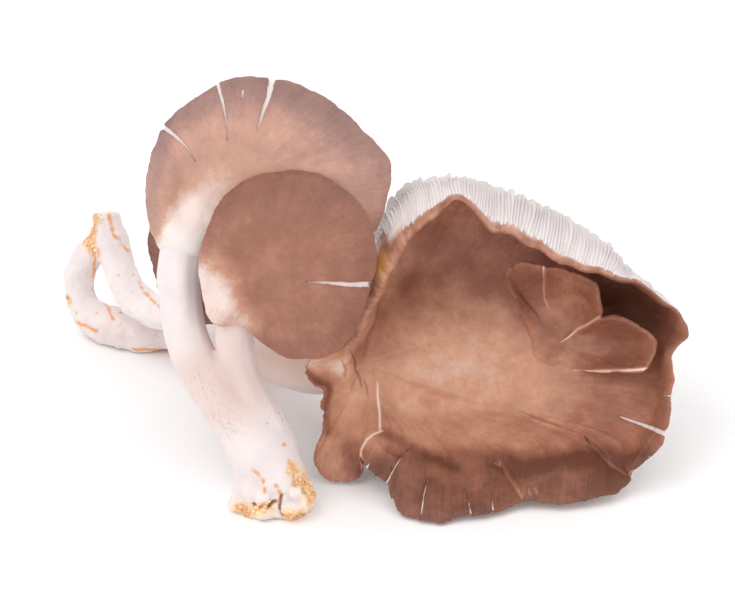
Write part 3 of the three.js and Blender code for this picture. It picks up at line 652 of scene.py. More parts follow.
WIDE_SWELLS = [
    (1.3, 5, [[2, 21], [5, 19]]), (1.3, 5, [[12, 13], [12, 9]]), (1.4, 5, [[23, 12], [24, 7]]),
    (1.2, 4, [[36, 13], [37, 9]]), (1.8, 7, [[52, 14], [68, 14]]), (1.2, 4, [[-9, 21], [-8, 17]]),
]
print(len(WIDE_TEARS), "tears,", len(WIDE_FOLDS), "folds and", len(WIDE_SWELLS), "swells")


# %% The wide cap
def wide_band(rim):
    """The brown margin beyond the gills is broad where the left lip rolls over."""
    return 2.4 + 5 * ease((80 - rim[:, 1]) / 4) * ease((22 - rim[:, 0]) / 8) * ease((rim[:, 1] - 50) / 8)


def wide_lip(rim):
    """The left lip is rolled and thick."""
    return 1.7 * ease((86 - rim[:, 1]) / 6) * ease((18 - rim[:, 0]) / 6) * ease((rim[:, 1] - 56) / 5)


def wide_nick(rim):
    """The left edge is torn off and the most ragged."""
    return 1.0 + 1.3 * ease((-6 - rim[:, 0]) / 5) * ease((rim[:, 1] - 22) / 6)


wide_cap = cap_piece("wide_cap_skin", wide_sheet, 840, 84, nick=wide_nick, wave=1.0, dent=0.8,
                     tears=WIDE_TEARS, folds=WIDE_FOLDS, swells=WIDE_SWELLS, band=wide_band, lip=wide_lip,
                     paint=wide_tone, ochre=[(1.0, 1.7, [[4.8, 80.5], [4, 76]])])

# %% The torn flap
# The two dark patches are painted shade, below the fold and along the flap's left edge; a pale one lightens
# its upper part.
FLAP_SHADES = [(0.2, 3.5, [[60, 53.5], [68, 52.5]]), (0.2, 4, [[47.5, 68], [51, 60]]),
               (-0.1, 3, [[60, 72], [64, 64]])]
FLAP_LINES = [
    (-0.75, 0.4, [[58.5, 54.8], [60.6, 56.2], [63.5, 58.8], [66, 60], [69.8, 62.4]]),
    (-0.8, 0.45, [[58, 46.6], [66, 46], [75, 46], [84, 46.8]]),
    (-0.3, 0.4, [[54.8, 65], [53.4, 68], [53.2, 72], [53.5, 77]])]


def flap_tone(points, outward):
    """The flap's own tone with its painted shade, and the floor's where it grows out of the floor."""
    floor = -38 + 0.035 * np.clip(points[:, 0] - 52, 0, None) ** 1.6
    own = 0.66 + 0.1 * ease((outward - 0.6) / 0.4) + shaded(points, FLAP_SHADES)
    free = ease((points[:, 2] - floor - 2.5) / 6)
    tone = wide_tone(points, np.full(len(points), 0.5))
    return tone + (own - tone) * free + shaded(points, FLAP_LINES, taper=0.7)


flap = cap_piece("wide_cap_flap", flap_sheet, 400, 56, under_rows=30, nick=0.7, wave=0.6, flesh=0.75,
                 tears=[(0.6, [[53, 72], [53.2, 78]])],
                 folds=[(-1.4, 8, [[58, 54.8], [63, 58.5], [69.8, 62.4]])], paint=flap_tone)

# %% [markdown]
# ## The gills
# Gills are thin blades that hang under the cap. The long ones start at the stem; shorter ones start further
# out wherever the long ones have spread apart, which keeps the spacing at the margin near 1 mm. Each gill
# takes four columns of the grid: its crest, the valley beside it, and one on each flank.

# %% Gills, with sway as amount and size in mm, stretch along the gill, and seed
GILL_SPACING = 1.04
GILL_DEPTH = 2.5
GILL_STARTS = [0.06, 0.66, 0.4, 0.6, 0.2, 0.72, 0.46, 0.63]
BLADE = np.array([1, 0.3, 0, 0.3])
SWAY = [(1.4, 9, 0.5, 1.5), (0.5, 2.6, 0.4, 4.5)]
GILL_RISES, GILL_FADES, GILL_ENDS = 0.08, 0.3, 0.015
WEB_INSIDE = 0.2
UPPER_ROWS = 22


def gill_piece(name, sheet, rows=34, band=1.6):
    """All the gills under one cap, on a web that lies inside its flesh."""
    gills = int(sheet.round / GILL_SPACING)
    columns = gills * 4
    vary = np.random.default_rng(len(name)).uniform(-1, 1, (3, gills))
    starts = np.array([GILL_STARTS[i % len(GILL_STARTS)] for i in range(gills)]) + 0.09 * vary[0]
    down = np.linspace(0, 1, UPPER_ROWS)
    outs = np.concatenate([down, 1 - np.linspace(0, 1, rows)[1:] ** 1.15])

    def place(column, row):
        around = column / columns
        gill = (column // 4 + (column % 4 == 3)) % gills
        rim = sheet.at(around, np.ones(len(around)))
        bare = band(rim) if callable(band) else band
        end = 1 - (bare + 0.5 * vary[1][gill]) / sheet.reach(around)
        outward = outs[row] * end
        fibre = fibres(sheet, around, outward)
        blade = BLADE[column % 4]
        started = ease((outward - starts[gill]) / GILL_RISES)
        fade = 0.75 * ease((end - outward) / GILL_FADES) + 0.25 * ease((end - outward) / GILL_ENDS)
        room = 0.25 + 0.75 * long_rib(sheet, around)
        depth = GILL_DEPTH * blade * started * fade * room * (1 + 0.3 * vary[2][gill])
        depth *= 1 + 0.3 * lumps(fibre * [1, 1, 0.5], 2.5, 6.6)
        under = np.where(row < UPPER_ROWS, 0.0, 1.0)
        sway = sum(amount * lumps(fibre * [1, 1, stretch], size, seed)
                   for amount, size, stretch, seed in SWAY)
        sway = sway / sheet.round * ease(outward / 0.3)
        middle = sheet.at(around + sway, outward)
        facing = sheet.normal(around, outward)
        web = flesh_half(sheet, around, outward) - WEB_INSIDE
        off = relief(sheet, outward, middle, fibre)
        inner = np.where(under > 0, web + 2 * WEB_INSIDE, web * 0.5)
        points = middle + facing * (off - inner - depth * under)[:, None]
        # groove paints shade into the gills' colour: lilac grey in the valleys between them, less on their
        # flanks, none on their crests, stronger and weaker in soft patches.
        plain = 0.55 + 0.45 * np.clip(lumps(middle, 16, 9.1) + 0.5, 0, 1)
        return points, {"groove": (1 - blade * started) * plain, "fibre": fibre}

    return make_piece(name, *closed_grid(columns, len(outs) - 1, place))


# %% Gills under the four caps
wide_gills = gill_piece("wide_cap_gills", wide_sheet, rows=38, band=wide_band)
tall_gills = gill_piece("tall_cap_gills", tall_sheet)
small_gills = gill_piece("small_cap_gills", small_sheet)
hidden_gills = gill_piece("hidden_cap_gills", hidden_sheet, rows=26)

# %% [markdown]
# ## The stems
# The stems of a clump are one piece of flesh. Each is a closed grid with ridges along it. Together they are
# remeshed into one skin and smoothed a little where they meet. They then take back their fibre directions
# from the nearest point of the stems that they came from.

# %% A stem
RIDGE, STEM_DENT = 0.22, 0.7
FIBRE_RING = 7


def stem_bmesh(line, sides, rings):
    """A stem as a closed bmesh, with rings crowded at its ends, and each vertex's place in its fibres."""
    length = np.linalg.norm(np.diff(np.array(line)[:, :3], axis=0), axis=1).sum()

    def place(column, row):
        share = row / rings
        station = (1 - np.cos(np.pi * share)) * 0.12 + share * 0.76
        middle, radius = on_stem(line, station)
        ahead = on_stem(line, station + 0.01)[0] - on_stem(line, station - 0.01)[0]
        ahead /= np.linalg.norm(ahead, axis=1)[:, None]
        sideways = np.cross([0, 0, 1], ahead)
        sideways /= np.linalg.norm(sideways, axis=1)[:, None]
        outwards = np.cross(ahead, sideways)
        angle = 2 * math.pi * column / sides
        way = sideways * np.cos(angle)[:, None] - outwards * np.sin(angle)[:, None]
        fibre = np.column_stack([np.cos(angle) * FIBRE_RING, np.sin(angle) * FIBRE_RING, station * length])
        grain = RIDGE * lumps(fibre * [1, 1, 0.1], 1.6, 3.3) + STEM_DENT * lumps(fibre * [1, 1, 0.5], 8, 5.1)
        radius = np.where((row == 0) | (row == rings), 0, radius + grain)
        return middle + way * radius[:, None], {"fibre": fibre}

    bm, values = closed_grid(sides, rings, place)
    return bm, values["fibre"]


# %% Stems grown together
VOXEL = 0.5
SMOOTH_PASSES = 5


def grown_together(name, parts):
    """One skin round several closed bmeshes, with the fibre direction of the nearest one."""
    together = bmesh.new()
    directions = []
    for bm, fibre in parts:
        part = bpy.data.meshes.new("part")
        bm.to_mesh(part)
        bm.free()
        together.from_mesh(part)
        bpy.data.meshes.remove(part)
        directions.append(fibre)
    tree = kdtree.KDTree(len(together.verts))
    for i, vertex in enumerate(together.verts):
        tree.insert(vertex.co, i)
    tree.balance()
    rough = make_piece(name + "_rough", together, {})
    remesh = rough.modifiers.new("Skin", "REMESH")
    remesh.mode, remesh.voxel_size = "VOXEL", VOXEL * MM
    skin = bpy.data.meshes.new_from_object(rough.evaluated_get(bpy.context.evaluated_depsgraph_get()))
    bpy.data.objects.remove(rough)
    bm = bmesh.new()
    bm.from_mesh(skin)
    bpy.data.meshes.remove(skin)
    for _ in range(SMOOTH_PASSES):
        bmesh.ops.smooth_vert(bm, verts=bm.verts, factor=0.5, use_axis_x=True, use_axis_y=True,
                              use_axis_z=True)
    nearest = [tree.find(vertex.co)[1] for vertex in bm.verts]
    return bm, np.vstack(directions)[nearest]


# %% Lobes of a foot, and places on the board
def board_points(bm):
    """Each vertex's place on the board, in mm."""
    x, back, high = (np.array([v.co[:] for v in bm.verts]) / MM - BOARD_FOOT).T
    up = back * math.sin(LEAN) + high * math.cos(LEAN)
    out = high * math.sin(LEAN) - back * math.cos(LEAN)
    return np.column_stack([x, up, out])


def lobe(centre, radius):
    """A rounded lump of stem flesh at a place on the board."""
    bm = bmesh.new()
    bmesh.ops.create_icosphere(bm, subdivisions=4, radius=radius * MM)
    bmesh.ops.translate(bm, vec=Vector(from_board([centre])[0]), verts=bm.verts)
    return bm, np.tile([0.0, FIBRE_RING, 120.0], (len(bm.verts), 1))


# %% Marks and knobs on the feet
def settle(bm):
    """Flattens what would reach below the table."""
    for vertex in bm.verts:
        vertex.co.z = max(vertex.co.z, 0.0)


def knobbly(bm, points, amount):
    """Pushes vertices along their normals by a smooth noise, each by its own amount in mm."""
    bm.normal_update()
    push = amount * (0.7 * lumps(points, 4.5, 2.7) + 0.4 * lumps(points, 1.9, 6.1)) * MM
    for vertex, distance in zip(bm.verts, push):
        vertex.co += vertex.normal * distance


def stained(points, marks):
    """How far each point is stained, from 0 to 1, in broken marks of (half the width in mm, line)."""
    total = np.zeros(len(points))
    rough = 1 + 0.5 * lumps(points, 1.3, 8.2)
    for width, line in marks:
        line = line if len(line) > 1 else [line[0], [line[0][0] + 0.1, line[0][1]]]
        total = np.maximum(total, 1 - ease(to_line(points, line)[0] / (width * rough) - 0.5))
    return total * ease(lumps(points, 1.5, 3.4) * 1.6 + 0.95)


# %% Lobes and marks of the front foot
FOOT_LOBES = [
    ([-33, 9.5, -7], 7.6), ([-22.2, 8.5, -6.5], 6.8), ([-19.2, 6.6, -0.6], 2.7), ([-23.2, 4.8, -0.2], 2.6),
    ([-21.3, 9.6, 1.2], 2.2), ([-31.5, 3.2, -1.2], 2.3), ([-38, 7, -5], 3.2), ([-35.2, 11, -0.6], 3.6),
    ([-31, 8.6, 0.6], 2.4)]
FRONT_MARKS = [
    (0.8, [[-23, 19], [-21.5, 16], [-21.6, 12]]), (1.7, [[-18.6, 14], [-16.8, 10.5], [-16.4, 7]]),
    (0.9, [[-39, 5.5], [-34.5, 4.6], [-29.5, 6]]), (0.9, [[-24.5, 3.6], [-20.5, 2.2], [-19, 2.4]]),
    (0.5, [[-34.2, 16.4], [-31.2, 14], [-30.6, 10]]), (0.5, [[-27.3, 12], [-25.6, 9], [-26.4, 6.4]]),
    (0.6, [[-25, 24.1]]), (0.3, [[-30, 30.5]]), (0.3, [[-26.4, 33.5]])]
FRONT_DAMP = [(0.8, 2.6, [[-20, 15.5], [-17.5, 10], [-17, 7]]), (0.7, 2, [[-39, 5], [-33, 3.5], [-29, 5.5]]),
              (0.8, 1.8, [[-24, 3.5], [-20, 2]])]
FRONT_DIRT = [(0.7, [[-33.8, 6.4], [-30.5, 5.2], [-27.6, 7]]), (0.4, [[-25.6, 9], [-26.2, 5.4], [-25.4, 3]]),
              (0.3, [[-20.4, 13.4], [-19.2, 9.8]])]
print(len(FOOT_LOBES), "lobes,", len(FRONT_MARKS) + len(FRONT_DAMP) + len(FRONT_DIRT), "marks")

# %% The front clump's flesh
parts = [stem_bmesh(TALL_STEM, 96, 220), stem_bmesh(SMALL_STEM, 64, 90)]
parts += [lobe(centre, radius) for centre, radius in FOOT_LOBES]
bm, fibre = grown_together("front_stems", parts)
points = board_points(bm)
knobbly(bm, points, 0.12 + 1.3 * ease((17 - points[:, 1]) / 12))
settle(bm)
# The photo shows only the near side, so the marks stay on it.
near_side = ease((points[:, 2] + 8) / 4)
rubbed = shaded(points, [(1.0, 4.5, [[-50, 44], [-46, 37], [-42, 30]]), (0.8, 3, [[-28, 36], [-20, 22]])])
# The warm tint is partly the small stem's own peach and partly painted shade, under the small cap and on the
# middle of the tall stem.
front_stems = make_piece("front_stems", bm, {
    "fibre": fibre, "stain": stained(points, FRONT_MARKS) * near_side, "rubbed": rubbed,
    "dirt": stained(points, FRONT_DIRT) * near_side, "damp": shaded(points, FRONT_DAMP) * near_side,
    "warm_tint_and_shade": shaded(points, [(0.42, 7, [[-40, 60], [-39, 48], [-33, 38]]),
                            (0.5, 7, [[-51, 47], [-48, 41], [-43, 35]])])})

# %% The back clump's flesh
BACK_MARKS = [
    (1.6, [[-83.5, 94], [-86, 90], [-84.3, 85.5], [-82.5, 82]]),
    (0.5, [[-78.3, 93], [-76.5, 87], [-72.6, 82.5]]),
    (0.45, [[-82.5, 81.3], [-82.8, 75], [-83.4, 70.5], [-81, 67.8], [-78.9, 66], [-76.8, 61.2]]),
    (0.9, [[-92.2, 67.8]]), (0.5, [[-91, 61.5], [-86, 60], [-82, 58.2]]), (0.5, [[-75.9, 56.7]]),
    (0.4, [[-69, 73.2], [-67.8, 70.2], [-62.7, 65.4], [-60, 63]]),
    (0.3, [[-65.4, 53.7]]), (0.3, [[-88, 63.6]]),
    (0.3, [[-82.2, 63.6]]), (0.3, [[-74.7, 63.9]]), (0.3, [[-71, 69.6]]), (0.3, [[-75.3, 75]]),
    (0.3, [[-70.8, 75.3]]), (0.35, [[-71, 52.8], [-59.7, 52.2]])]
parts = [stem_bmesh(WIDE_STEM, 72, 240), stem_bmesh(HIDDEN_STEM, 56, 160)]
bm, fibre = grown_together("back_stems", parts)
points = board_points(bm)
knobbly(bm, points, 0.15 + 0.7 * ease((-62 - points[:, 0]) / 10))
settle(bm)
# The strong warm stroke is painted shade on the wide stem, where it runs under the small cap and behind the
# small stem.
back_stems = make_piece("back_stems", bm, {
    "fibre": fibre, "stain": stained(points, BACK_MARKS) * ease((points[:, 2] + 86) / 5),
    "dirt": np.zeros(len(points)), "damp": shaded(points, [(0.6, 2, [[-85, 92], [-84.5, 84]])]),
    "rubbed": shaded(points, [(0.45, 4, [[-75, 56], [-62, 56]])]),
    "warm_tint_and_shade": shaded(points, [(0.12, 7, [[-80, 58], [-60, 55]]), (0.85, 9, [[-32, 50], [-5, 48]])])})

# %% [markdown]
# ## The sawdust on the feet
# Crumbs of the sawdust that the clumps grew on still cling to the feet in small clusters. Every grain is a
# low icosphere, stretched, and sits on the stem's own skin. Each has its own tone, from orange to pale
# yellow.

# %% Clusters of crumbs, as board place, spread in mm and number of grains
FRONT_CLUSTERS = [
    ([-17.6, 12.5, -1], 1.9, 260), ([-15.8, 8.5, -2], 1.6, 200), ([-20.5, 2.4, -1], 1.5, 170),
    ([-23.6, 3.6, -0.5], 1, 60), ([-31, 5.6, 0], 1.5, 110), ([-37, 4.2, -2], 1.6, 130),
    ([-20.8, 17, 1], 1, 50)]
BACK_CLUSTERS = [
    ([-85, 92, -77], 1.8, 170), ([-85, 87.5, -77], 1.6, 130), ([-83.5, 83.5, -77], 1.1, 60),
    ([-92, 67.6, -83], 1, 50), ([-60, 63, -58], 0.9, 20)]
print("grains:", [sum(grains for *_, grains in clusters) for clusters in (FRONT_CLUSTERS, BACK_CLUSTERS)])

# %% Crumbs
BIG_GRAIN_EVERY = 12
BIG_GRAIN, SMALL_GRAIN = (0.45, 0.75), (0.16, 0.38)


def crumb_piece(name, stems, clusters, seed):
    """Grains that sit on the skin of stems, in clusters."""
    random = np.random.default_rng(seed)
    copy = bmesh.new()
    copy.from_mesh(stems.data)
    points = board_points(copy)
    sites = [v.co.copy() for v in copy.verts]
    copy.free()
    bm = bmesh.new()
    tones = []
    for middle, spread, grains in clusters:
        away = np.linalg.norm(points - middle, axis=1)
        near = np.flatnonzero(away < away.min() + 2 * spread)
        chance = np.exp(-(((away[near] - away.min()) / spread) ** 2))
        for i, site in enumerate(random.choice(near, grains, p=chance / chance.sum())):
            big = i % BIG_GRAIN_EVERY == 0
            radius = random.uniform(*(BIG_GRAIN if big else SMALL_GRAIN))
            verts = bmesh.ops.create_icosphere(bm, subdivisions=2 if big else 1, radius=radius * MM)["verts"]
            for vertex in verts:
                vertex.co *= random.uniform(0.75, 1.15)
            bmesh.ops.scale(bm, vec=random.uniform(0.6, 1.4, 3), verts=verts)
            bmesh.ops.translate(bm, vec=sites[site], verts=verts)
            tones += [random.uniform(0, 0.6) + 0.4 * (away[site] - away.min()) / spread] * len(verts)
    settle(bm)
    return make_piece(name, bm, {"grain": np.array(tones)})


front_crumbs = crumb_piece("front_crumbs", front_stems, FRONT_CLUSTERS, 3)
back_crumbs = crumb_piece("back_crumbs", back_stems, BACK_CLUSTERS, 5)

# %% [markdown]
# ## Materials
# One small function adds a node with its settings and links. Colours are written as sRGB hex, as they are
# read off a screen, and turned to linear light once.

# %% Colour and node helpers
def colour(code):
    """sRGB hex to linear RGBA."""
    parts = [int(code[i:i + 2], 16) / 255 for i in (0, 2, 4)]
    return [x / 12.92 if x <= 0.04045 else ((x + 0.055) / 1.055) ** 2.4 for x in parts] + [1.0]


def add(tree, kind, inputs=(), **settings):
    """Adds a node. An input that is a socket is linked, and any other is set."""
    node = tree.nodes.new(kind)
    for name, value in settings.items():
        setattr(node, name, value)
    for key, value in dict(inputs).items():
        if isinstance(value, bpy.types.NodeSocket):
            tree.links.new(value, node.inputs[key])
        else:
            node.inputs[key].default_value = value
    return node


def new_material(name):
    """A material with its node tree and its shader."""
    material = bpy.data.materials.new(name)
    material.use_nodes = True
    tree = material.node_tree
    return material, tree, tree.nodes["Principled BSDF"]


# %% [markdown]
# ### Cap skin
# The skin of an oyster mushroom is a felt of fine threads that lie along the ribs. The eye sees a soft,
# matt surface with hair-fine streaks from hub to margin, paler where the skin is thin, and white where it
# is torn.

# %% Sizes of the skin's patterns
# The real threads are finer than a tenth of a millimetre, so the streaks are drawn as wide as they need to
# be to show in the picture.
STREAK_MM = 0.8
BAND_MM = 5 * STREAK_MM
STREAK_STRETCH = 0.16
BLOTCH_MM = 9
CRINKLE_MM = 2.4
STREAK_TONE, BAND_TONE, BLOTCH_TONE, CRINKLE_TONE = 0.26, 0.16, 0.5, 0.2
TAN_AT, BROWN_AT = 0.32, 0.66
WHITE_FLESH = "ebe0dc"
OCHRE = "e0a35f"


# %% The skin's tone
def skin_tone(tree, on, streak, band, blotch, crinkle):
    """The painted tone with its patterns. Streaks start some way out from the hub."""
    spread = add(tree, "ShaderNodeMapRange", {"Value": on["reach"], "From Min": 0.2, "From Max": 0.8})
    fine, wide, soft = (
        add(tree, "ShaderNodeMath", {0: value, 1: amount, 2: -amount / 2}, operation="MULTIPLY_ADD")
        for value, amount in ((streak, STREAK_TONE), (band, BAND_TONE), (blotch, BLOTCH_TONE)))
    soft = add(tree, "ShaderNodeMath", {0: crinkle, 1: CRINKLE_TONE, 2: soft.outputs[0]},
               operation="MULTIPLY_ADD")
    soft = add(tree, "ShaderNodeMath", {0: soft.outputs[0], 1: CRINKLE_TONE / 2}, operation="SUBTRACT")
    along = add(tree, "ShaderNodeMath", {0: fine.outputs[0], 1: wide.outputs[0]})
    along = add(tree, "ShaderNodeMath", {0: along.outputs[0], 1: spread.outputs[0]}, operation="MULTIPLY")
    marks = add(tree, "ShaderNodeMath", {0: along.outputs[0], 1: soft.outputs[0]})
    return add(tree, "ShaderNodeMath", {0: on["tone"], 1: marks.outputs[0]}, use_clamp=True).outputs[0]


# %% Cap skin
def cap_skin(name, cream, tan, brown, dark):
    """Felted skin in four tones. It shows white flesh where it is torn, thin or turned under."""
    material, tree, shader = new_material(name)
    on = {key: add(tree, "ShaderNodeAttribute", attribute_name=key).outputs["Fac"]
          for key in ("tone", "tear", "under", "reach", "ochre")}
    fibre = add(tree, "ShaderNodeAttribute", attribute_name="fibre")
    place = add(tree, "ShaderNodeTexCoord")
    stretched = add(tree, "ShaderNodeVectorMath", {0: fibre.outputs["Vector"], 1: (1, 1, STREAK_STRETCH)},
                    operation="MULTIPLY")
    streak, band, blotch, crinkle = (
        add(tree, "ShaderNodeTexNoise", {"Vector": vector, "Scale": 1 / size, **more}).outputs["Fac"]
        for vector, size, more in (
            (stretched.outputs[0], STREAK_MM, {"Detail": 3, "Roughness": 0.6}),
            (stretched.outputs[0], BAND_MM, {"Detail": 2}),
            (place.outputs["Object"], BLOTCH_MM * MM, {"Detail": 5, "Roughness": 0.6}),
            (place.outputs["Object"], CRINKLE_MM * MM, {"Detail": 4, "Roughness": 0.6, "Distortion": 0.6})))
    ramp = add(tree, "ShaderNodeValToRGB", {"Fac": skin_tone(tree, on, streak, band, blotch, crinkle)})
    stops = ramp.color_ramp.elements
    stops[0].color, stops[1].color = colour(cream), colour(dark)
    for position, code in ((TAN_AT, tan), (BROWN_AT, brown)):
        stops.new(position).color = colour(code)
    torn = add(tree, "ShaderNodeMapRange", {"Value": on["tear"], "From Min": 0.75, "From Max": 1.15,
                                            "To Min": 1.0, "To Max": 0.0})
    flesh = add(tree, "ShaderNodeMath", {0: torn.outputs[0], 1: on["under"]}, operation="MAXIMUM")
    base = ramp.outputs["Color"]
    for share, code in ((flesh.outputs[0], WHITE_FLESH), (on["ochre"], OCHRE)):
        base = add(tree, "ShaderNodeMix", {"Factor": share, 6: base, 7: colour(code)},
                   data_type="RGBA").outputs[2]
    tree.links.new(base, shader.inputs["Base Color"])
    rough = add(tree, "ShaderNodeMapRange", {"Value": streak, "To Min": 0.48, "To Max": 0.66})
    tree.links.new(rough.outputs[0], shader.inputs["Roughness"])
    felt = add(tree, "ShaderNodeBump", {"Height": streak, "Strength": 0.3, "Distance": 0.2 * MM})
    bump = add(tree, "ShaderNodeBump", {"Height": crinkle, "Strength": 0.35, "Distance": 0.6 * MM,
                                        "Normal": felt.outputs[0]})
    tree.links.new(bump.outputs[0], shader.inputs["Normal"])
    shader.inputs["Subsurface Weight"].default_value = 0.15
    shader.inputs["Subsurface Radius"].default_value = (1.0, 0.45, 0.3)
    shader.inputs["Subsurface Scale"].default_value = 2.5 * MM
    return material


# %% The three skins
skin = cap_skin("cap skin, felted threads", "f0dcd0", "d8a284", "a26a54", "6c3f2d")
dark_skin = cap_skin("cap skin, darker", "e3cec6", "bc8971", "97634f", "734a3d")
mauve_skin = cap_skin("cap skin, mauve at the edge", "ecd9cf", "ca9b86", "a0796f", "7d5d57")
for piece, material in ((tall_cap, mauve_skin), (small_cap, dark_skin), (hidden_cap, dark_skin),
                        (wide_cap, skin), (flap, skin)):
    piece.data.materials.append(material)
print("cap skins:", skin.name, "/", dark_skin.name, "/", mauve_skin.name)

# %% [markdown]
# ### White flesh
# Stems and gills are the same white flesh. It lets a little light in, which softens every edge. Between
# gills a lilac grey is painted in as shade, and on the feet the flesh is stained ochre. Under the caps the
# stems take a warm tint that is partly their own colour and partly painted shade.

# %% White flesh
THREAD_MM, SCUFF_MM, CLOUD_MM = 1.1, 0.55, 9
PALE, LILAC, SCUFFED = "f2e9e6", "d3c4c6", "a8989a"
# The warm mark is a tint that is partly the stems' own peach and partly painted shade under the caps. The
# damp, stain and dirt marks are real stains and dirt.
STAINS_AND_SHADE = [("warm_tint_and_shade", "d8b8a8"), ("damp", "f8d8a2"), ("stain", "e3a066"), ("dirt", "7d4b2c")]
MOST_LILAC = 0.8


def white_flesh(name, gills=False):
    """White flesh that turns lilac: as painted shade between gills, and on a stem in soft clouds."""
    material, tree, shader = new_material(name)
    on = {key: add(tree, "ShaderNodeAttribute", attribute_name=key).outputs["Fac"]
          for key in (["groove"] if gills else ["rubbed"] + [key for key, _ in STAINS_AND_SHADE])}
    fibre = add(tree, "ShaderNodeAttribute", attribute_name="fibre")
    if gills:
        # Painted shade: the groove attribute darkens the gills towards lilac grey between them.
        shade = add(tree, "ShaderNodeMapRange", {"Value": on["groove"], "To Max": MOST_LILAC})
    else:
        place = add(tree, "ShaderNodeTexCoord")
        cloud = add(tree, "ShaderNodeTexNoise", {"Vector": place.outputs["Object"],
                                                 "Scale": 1 / (CLOUD_MM * MM), "Detail": 3})
        shade = add(tree, "ShaderNodeMath", {0: cloud.outputs["Fac"], 1: MOST_LILAC}, operation="MULTIPLY")
    base = add(tree, "ShaderNodeMix", {"Factor": shade.outputs[0], 6: colour(PALE), 7: colour(LILAC)},
               data_type="RGBA")
    if not gills:
        hair = add(tree, "ShaderNodeVectorMath", {0: fibre.outputs["Vector"], 1: (1, 1, 0.3)},
                   operation="MULTIPLY")
        scuff = add(tree, "ShaderNodeTexNoise", {"Vector": hair.outputs[0], "Scale": 1 / SCUFF_MM,
                                                 "Detail": 4, "Roughness": 0.65})
        scuff = add(tree, "ShaderNodeMapRange", {"Value": scuff.outputs["Fac"], "From Min": 0.53,
                                                 "From Max": 0.7})
        scuff = add(tree, "ShaderNodeMath", {0: scuff.outputs[0], 1: on["rubbed"]}, operation="MULTIPLY")
        marks = [(scuff.outputs[0], SCUFFED)] + [(on[key], code) for key, code in STAINS_AND_SHADE]
        for share, code in marks:
            base = add(tree, "ShaderNodeMix", {"Factor": share, 6: base.outputs[2], 7: colour(code)},
                       data_type="RGBA")
    tree.links.new(base.outputs[2], shader.inputs["Base Color"])
    stretched = add(tree, "ShaderNodeVectorMath", {0: fibre.outputs["Vector"], 1: (1, 1, 0.09)},
                    operation="MULTIPLY")
    thread = add(tree, "ShaderNodeTexNoise", {"Vector": stretched.outputs[0], "Scale": 1 / THREAD_MM,
                                              "Detail": 4})
    bump = add(tree, "ShaderNodeBump", {"Height": thread.outputs["Fac"], "Strength": 0.4,
                                        "Distance": 0.3 * MM})
    tree.links.new(bump.outputs[0], shader.inputs["Normal"])
    shader.inputs["Roughness"].default_value = 0.62
    shader.inputs["Subsurface Weight"].default_value = 0.3
    shader.inputs["Subsurface Radius"].default_value = (1.0, 0.7, 0.6)
    shader.inputs["Subsurface Scale"].default_value = 2 * MM
    return material


# %% Flesh on gills and stems
gill_flesh = white_flesh("gill flesh", gills=True)
stem_flesh = white_flesh("stem flesh, stained at the foot")
for piece in (wide_gills, tall_gills, small_gills, hidden_gills):
    piece.data.materials.append(gill_flesh)
for piece in (front_stems, back_stems):
    piece.data.materials.append(stem_flesh)
print("flesh:", gill_flesh.name, "/", stem_flesh.name)

# %% [markdown]
# ### Damp sawdust
# The clumps grew on damp sawdust. Its grains are orange where they are wet and pale yellow where they are
# dry, and quite matt.

# %% Sawdust
SPECK_MM = 1.5
WET, DRY = "d9792f", "fbe2b6"
sawdust, tree, shader = new_material("damp sawdust")
place = add(tree, "ShaderNodeTexCoord")
grain = add(tree, "ShaderNodeTexNoise", {"Vector": place.outputs["Object"], "Scale": 1 / (SPECK_MM * MM),
                                         "Detail": 3})
tone = add(tree, "ShaderNodeAttribute", attribute_name="grain")
level = add(tree, "ShaderNodeMath", {0: tone.outputs["Fac"], 1: 0.7, 2: grain.outputs["Fac"]},
            operation="MULTIPLY_ADD")
level = add(tree, "ShaderNodeMapRange", {"Value": level.outputs[0], "From Min": 0.3, "From Max": 1.2})
base = add(tree, "ShaderNodeMix", {"Factor": level.outputs[0], 6: colour(WET), 7: colour(DRY)},
           data_type="RGBA")
tree.links.new(base.outputs[2], shader.inputs["Base Color"])
bump = add(tree, "ShaderNodeBump", {"Height": grain.outputs["Fac"], "Strength": 0.6, "Distance": 0.3 * MM})
tree.links.new(bump.outputs[0], shader.inputs["Normal"])
shader.inputs["Roughness"].default_value = 0.8
for piece in (front_crumbs, back_crumbs):
    piece.data.materials.append(sawdust)
print("on the feet:", sawdust.name)

# %% [markdown]
# ## Riding on the frame
# Each piece says which solids of the frame it stands for, and the name of its finish.

# %% What each piece stands for
STANDS_FOR = [
    (tall_cap, "tall_cap", "cap_skin"),
    (small_cap, "small_cap", "cap_skin"),
    (wide_cap, "wide_cap", "cap_skin"),
    (flap, "wide_cap", "cap_skin"),
    (hidden_cap, "hidden_cap", "cap_skin"),
    (tall_gills, "front_stems_and_gills", "white_flesh"),
    (small_gills, "front_stems_and_gills", "white_flesh"),
    (front_stems, "front_stems_and_gills", "white_flesh"),
    (wide_gills, "back_stems_and_gills", "white_flesh"),
    (hidden_gills, "back_stems_and_gills", "white_flesh"),
    (back_stems, "back_stems_and_gills", "white_flesh"),
    (front_crumbs, "front_substrate", "sawdust"),
    (back_crumbs, "back_substrate", "sawdust"),
]
for piece, node, slot in STANDS_FOR:
    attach(piece, "root")
    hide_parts(node)
print(len(STANDS_FOR), "pieces ride on the frame")

# %% [markdown]
# ## Table, light and camera
# The table is white and the light comes from all round, so the shadows are faint. The camera stands far off
# with a long lens, which keeps the board's lines of sight nearly parallel.

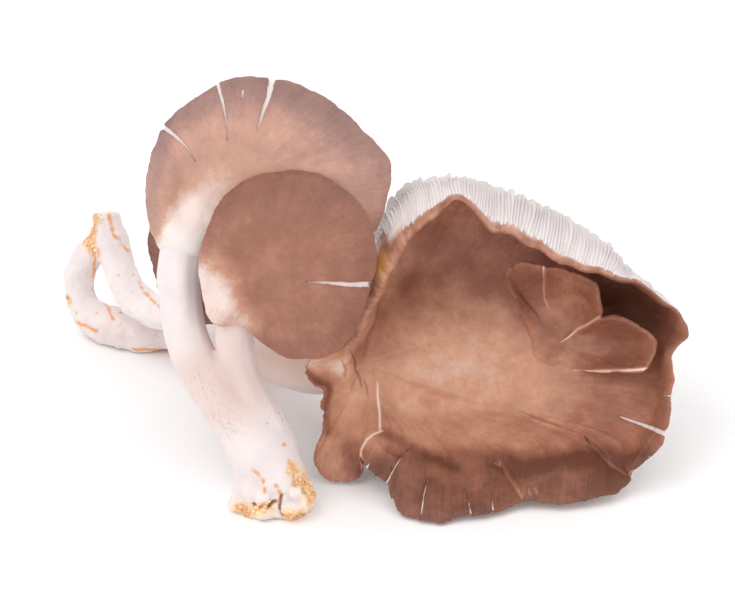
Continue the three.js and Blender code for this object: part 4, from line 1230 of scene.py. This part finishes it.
# %% Table
TABLE_HALF = 4
TABLE_GAP = 0.1 * MM
bm = bmesh.new()
bmesh.ops.create_grid(bm, x_segments=1, y_segments=1, size=TABLE_HALF)
bmesh.ops.translate(bm, vec=(0, 0, -TABLE_GAP), verts=bm.verts)
table = make_piece("table", bm, {})
white, _, shader = new_material("white table")
shader.inputs["Base Color"].default_value = colour("fbfafa")
shader.inputs["Roughness"].default_value = 0.9
table.data.materials.append(white)

# %% Light
ROOM_LIGHT = 1.02
world = bpy.data.worlds.new("white room")
world.use_nodes = True
world.node_tree.nodes["Background"].inputs["Color"].default_value = (1.0, 1.0, 1.0, 1.0)
world.node_tree.nodes["Background"].inputs["Strength"].default_value = ROOM_LIGHT
bpy.context.scene.world = world


def soft_light(name, place, size, power):
    """A square lamp of that size in metres and power in watts, turned to the cluster."""
    light = bpy.data.lights.new(name, "AREA")
    light.size, light.energy = size, power
    lamp = bpy.data.objects.new(name, light)
    lamp.location = place
    lamp.rotation_euler = (-Vector(place)).to_track_quat("-Z", "Y").to_euler()
    lamp.visible_camera = False
    bpy.context.scene.collection.objects.link(lamp)
    return lamp


lamps = [soft_light("window", (-0.7, -0.5, 1.3), 1.2, 6), soft_light("reflector", (1.1, -0.5, 0.9), 1.4, 2)]
print("lamps:", [(lamp.name, lamp.data.energy) for lamp in lamps])

# %% Camera
PIXEL = 0.3 * MM
PIXELS_WIDE = 735
IMAGE_MIDDLE = [0.15, 68.4, 0]
DISTANCE = 7.35
camera = bpy.data.objects.new("camera", bpy.data.cameras.new("camera"))
camera.data.sensor_width = 36
camera.data.lens = camera.data.sensor_width * DISTANCE / (PIXELS_WIDE * PIXEL)
camera.location = Vector(from_board([IMAGE_MIDDLE])[0]) + OUT * DISTANCE
camera.rotation_euler = (-OUT).to_track_quat("-Z", "Y").to_euler()
bpy.context.scene.collection.objects.link(camera)
bpy.context.scene.camera = camera
bpy.context.scene.view_settings.view_transform = "Standard"
print("the lens is", round(camera.data.lens), "mm long")
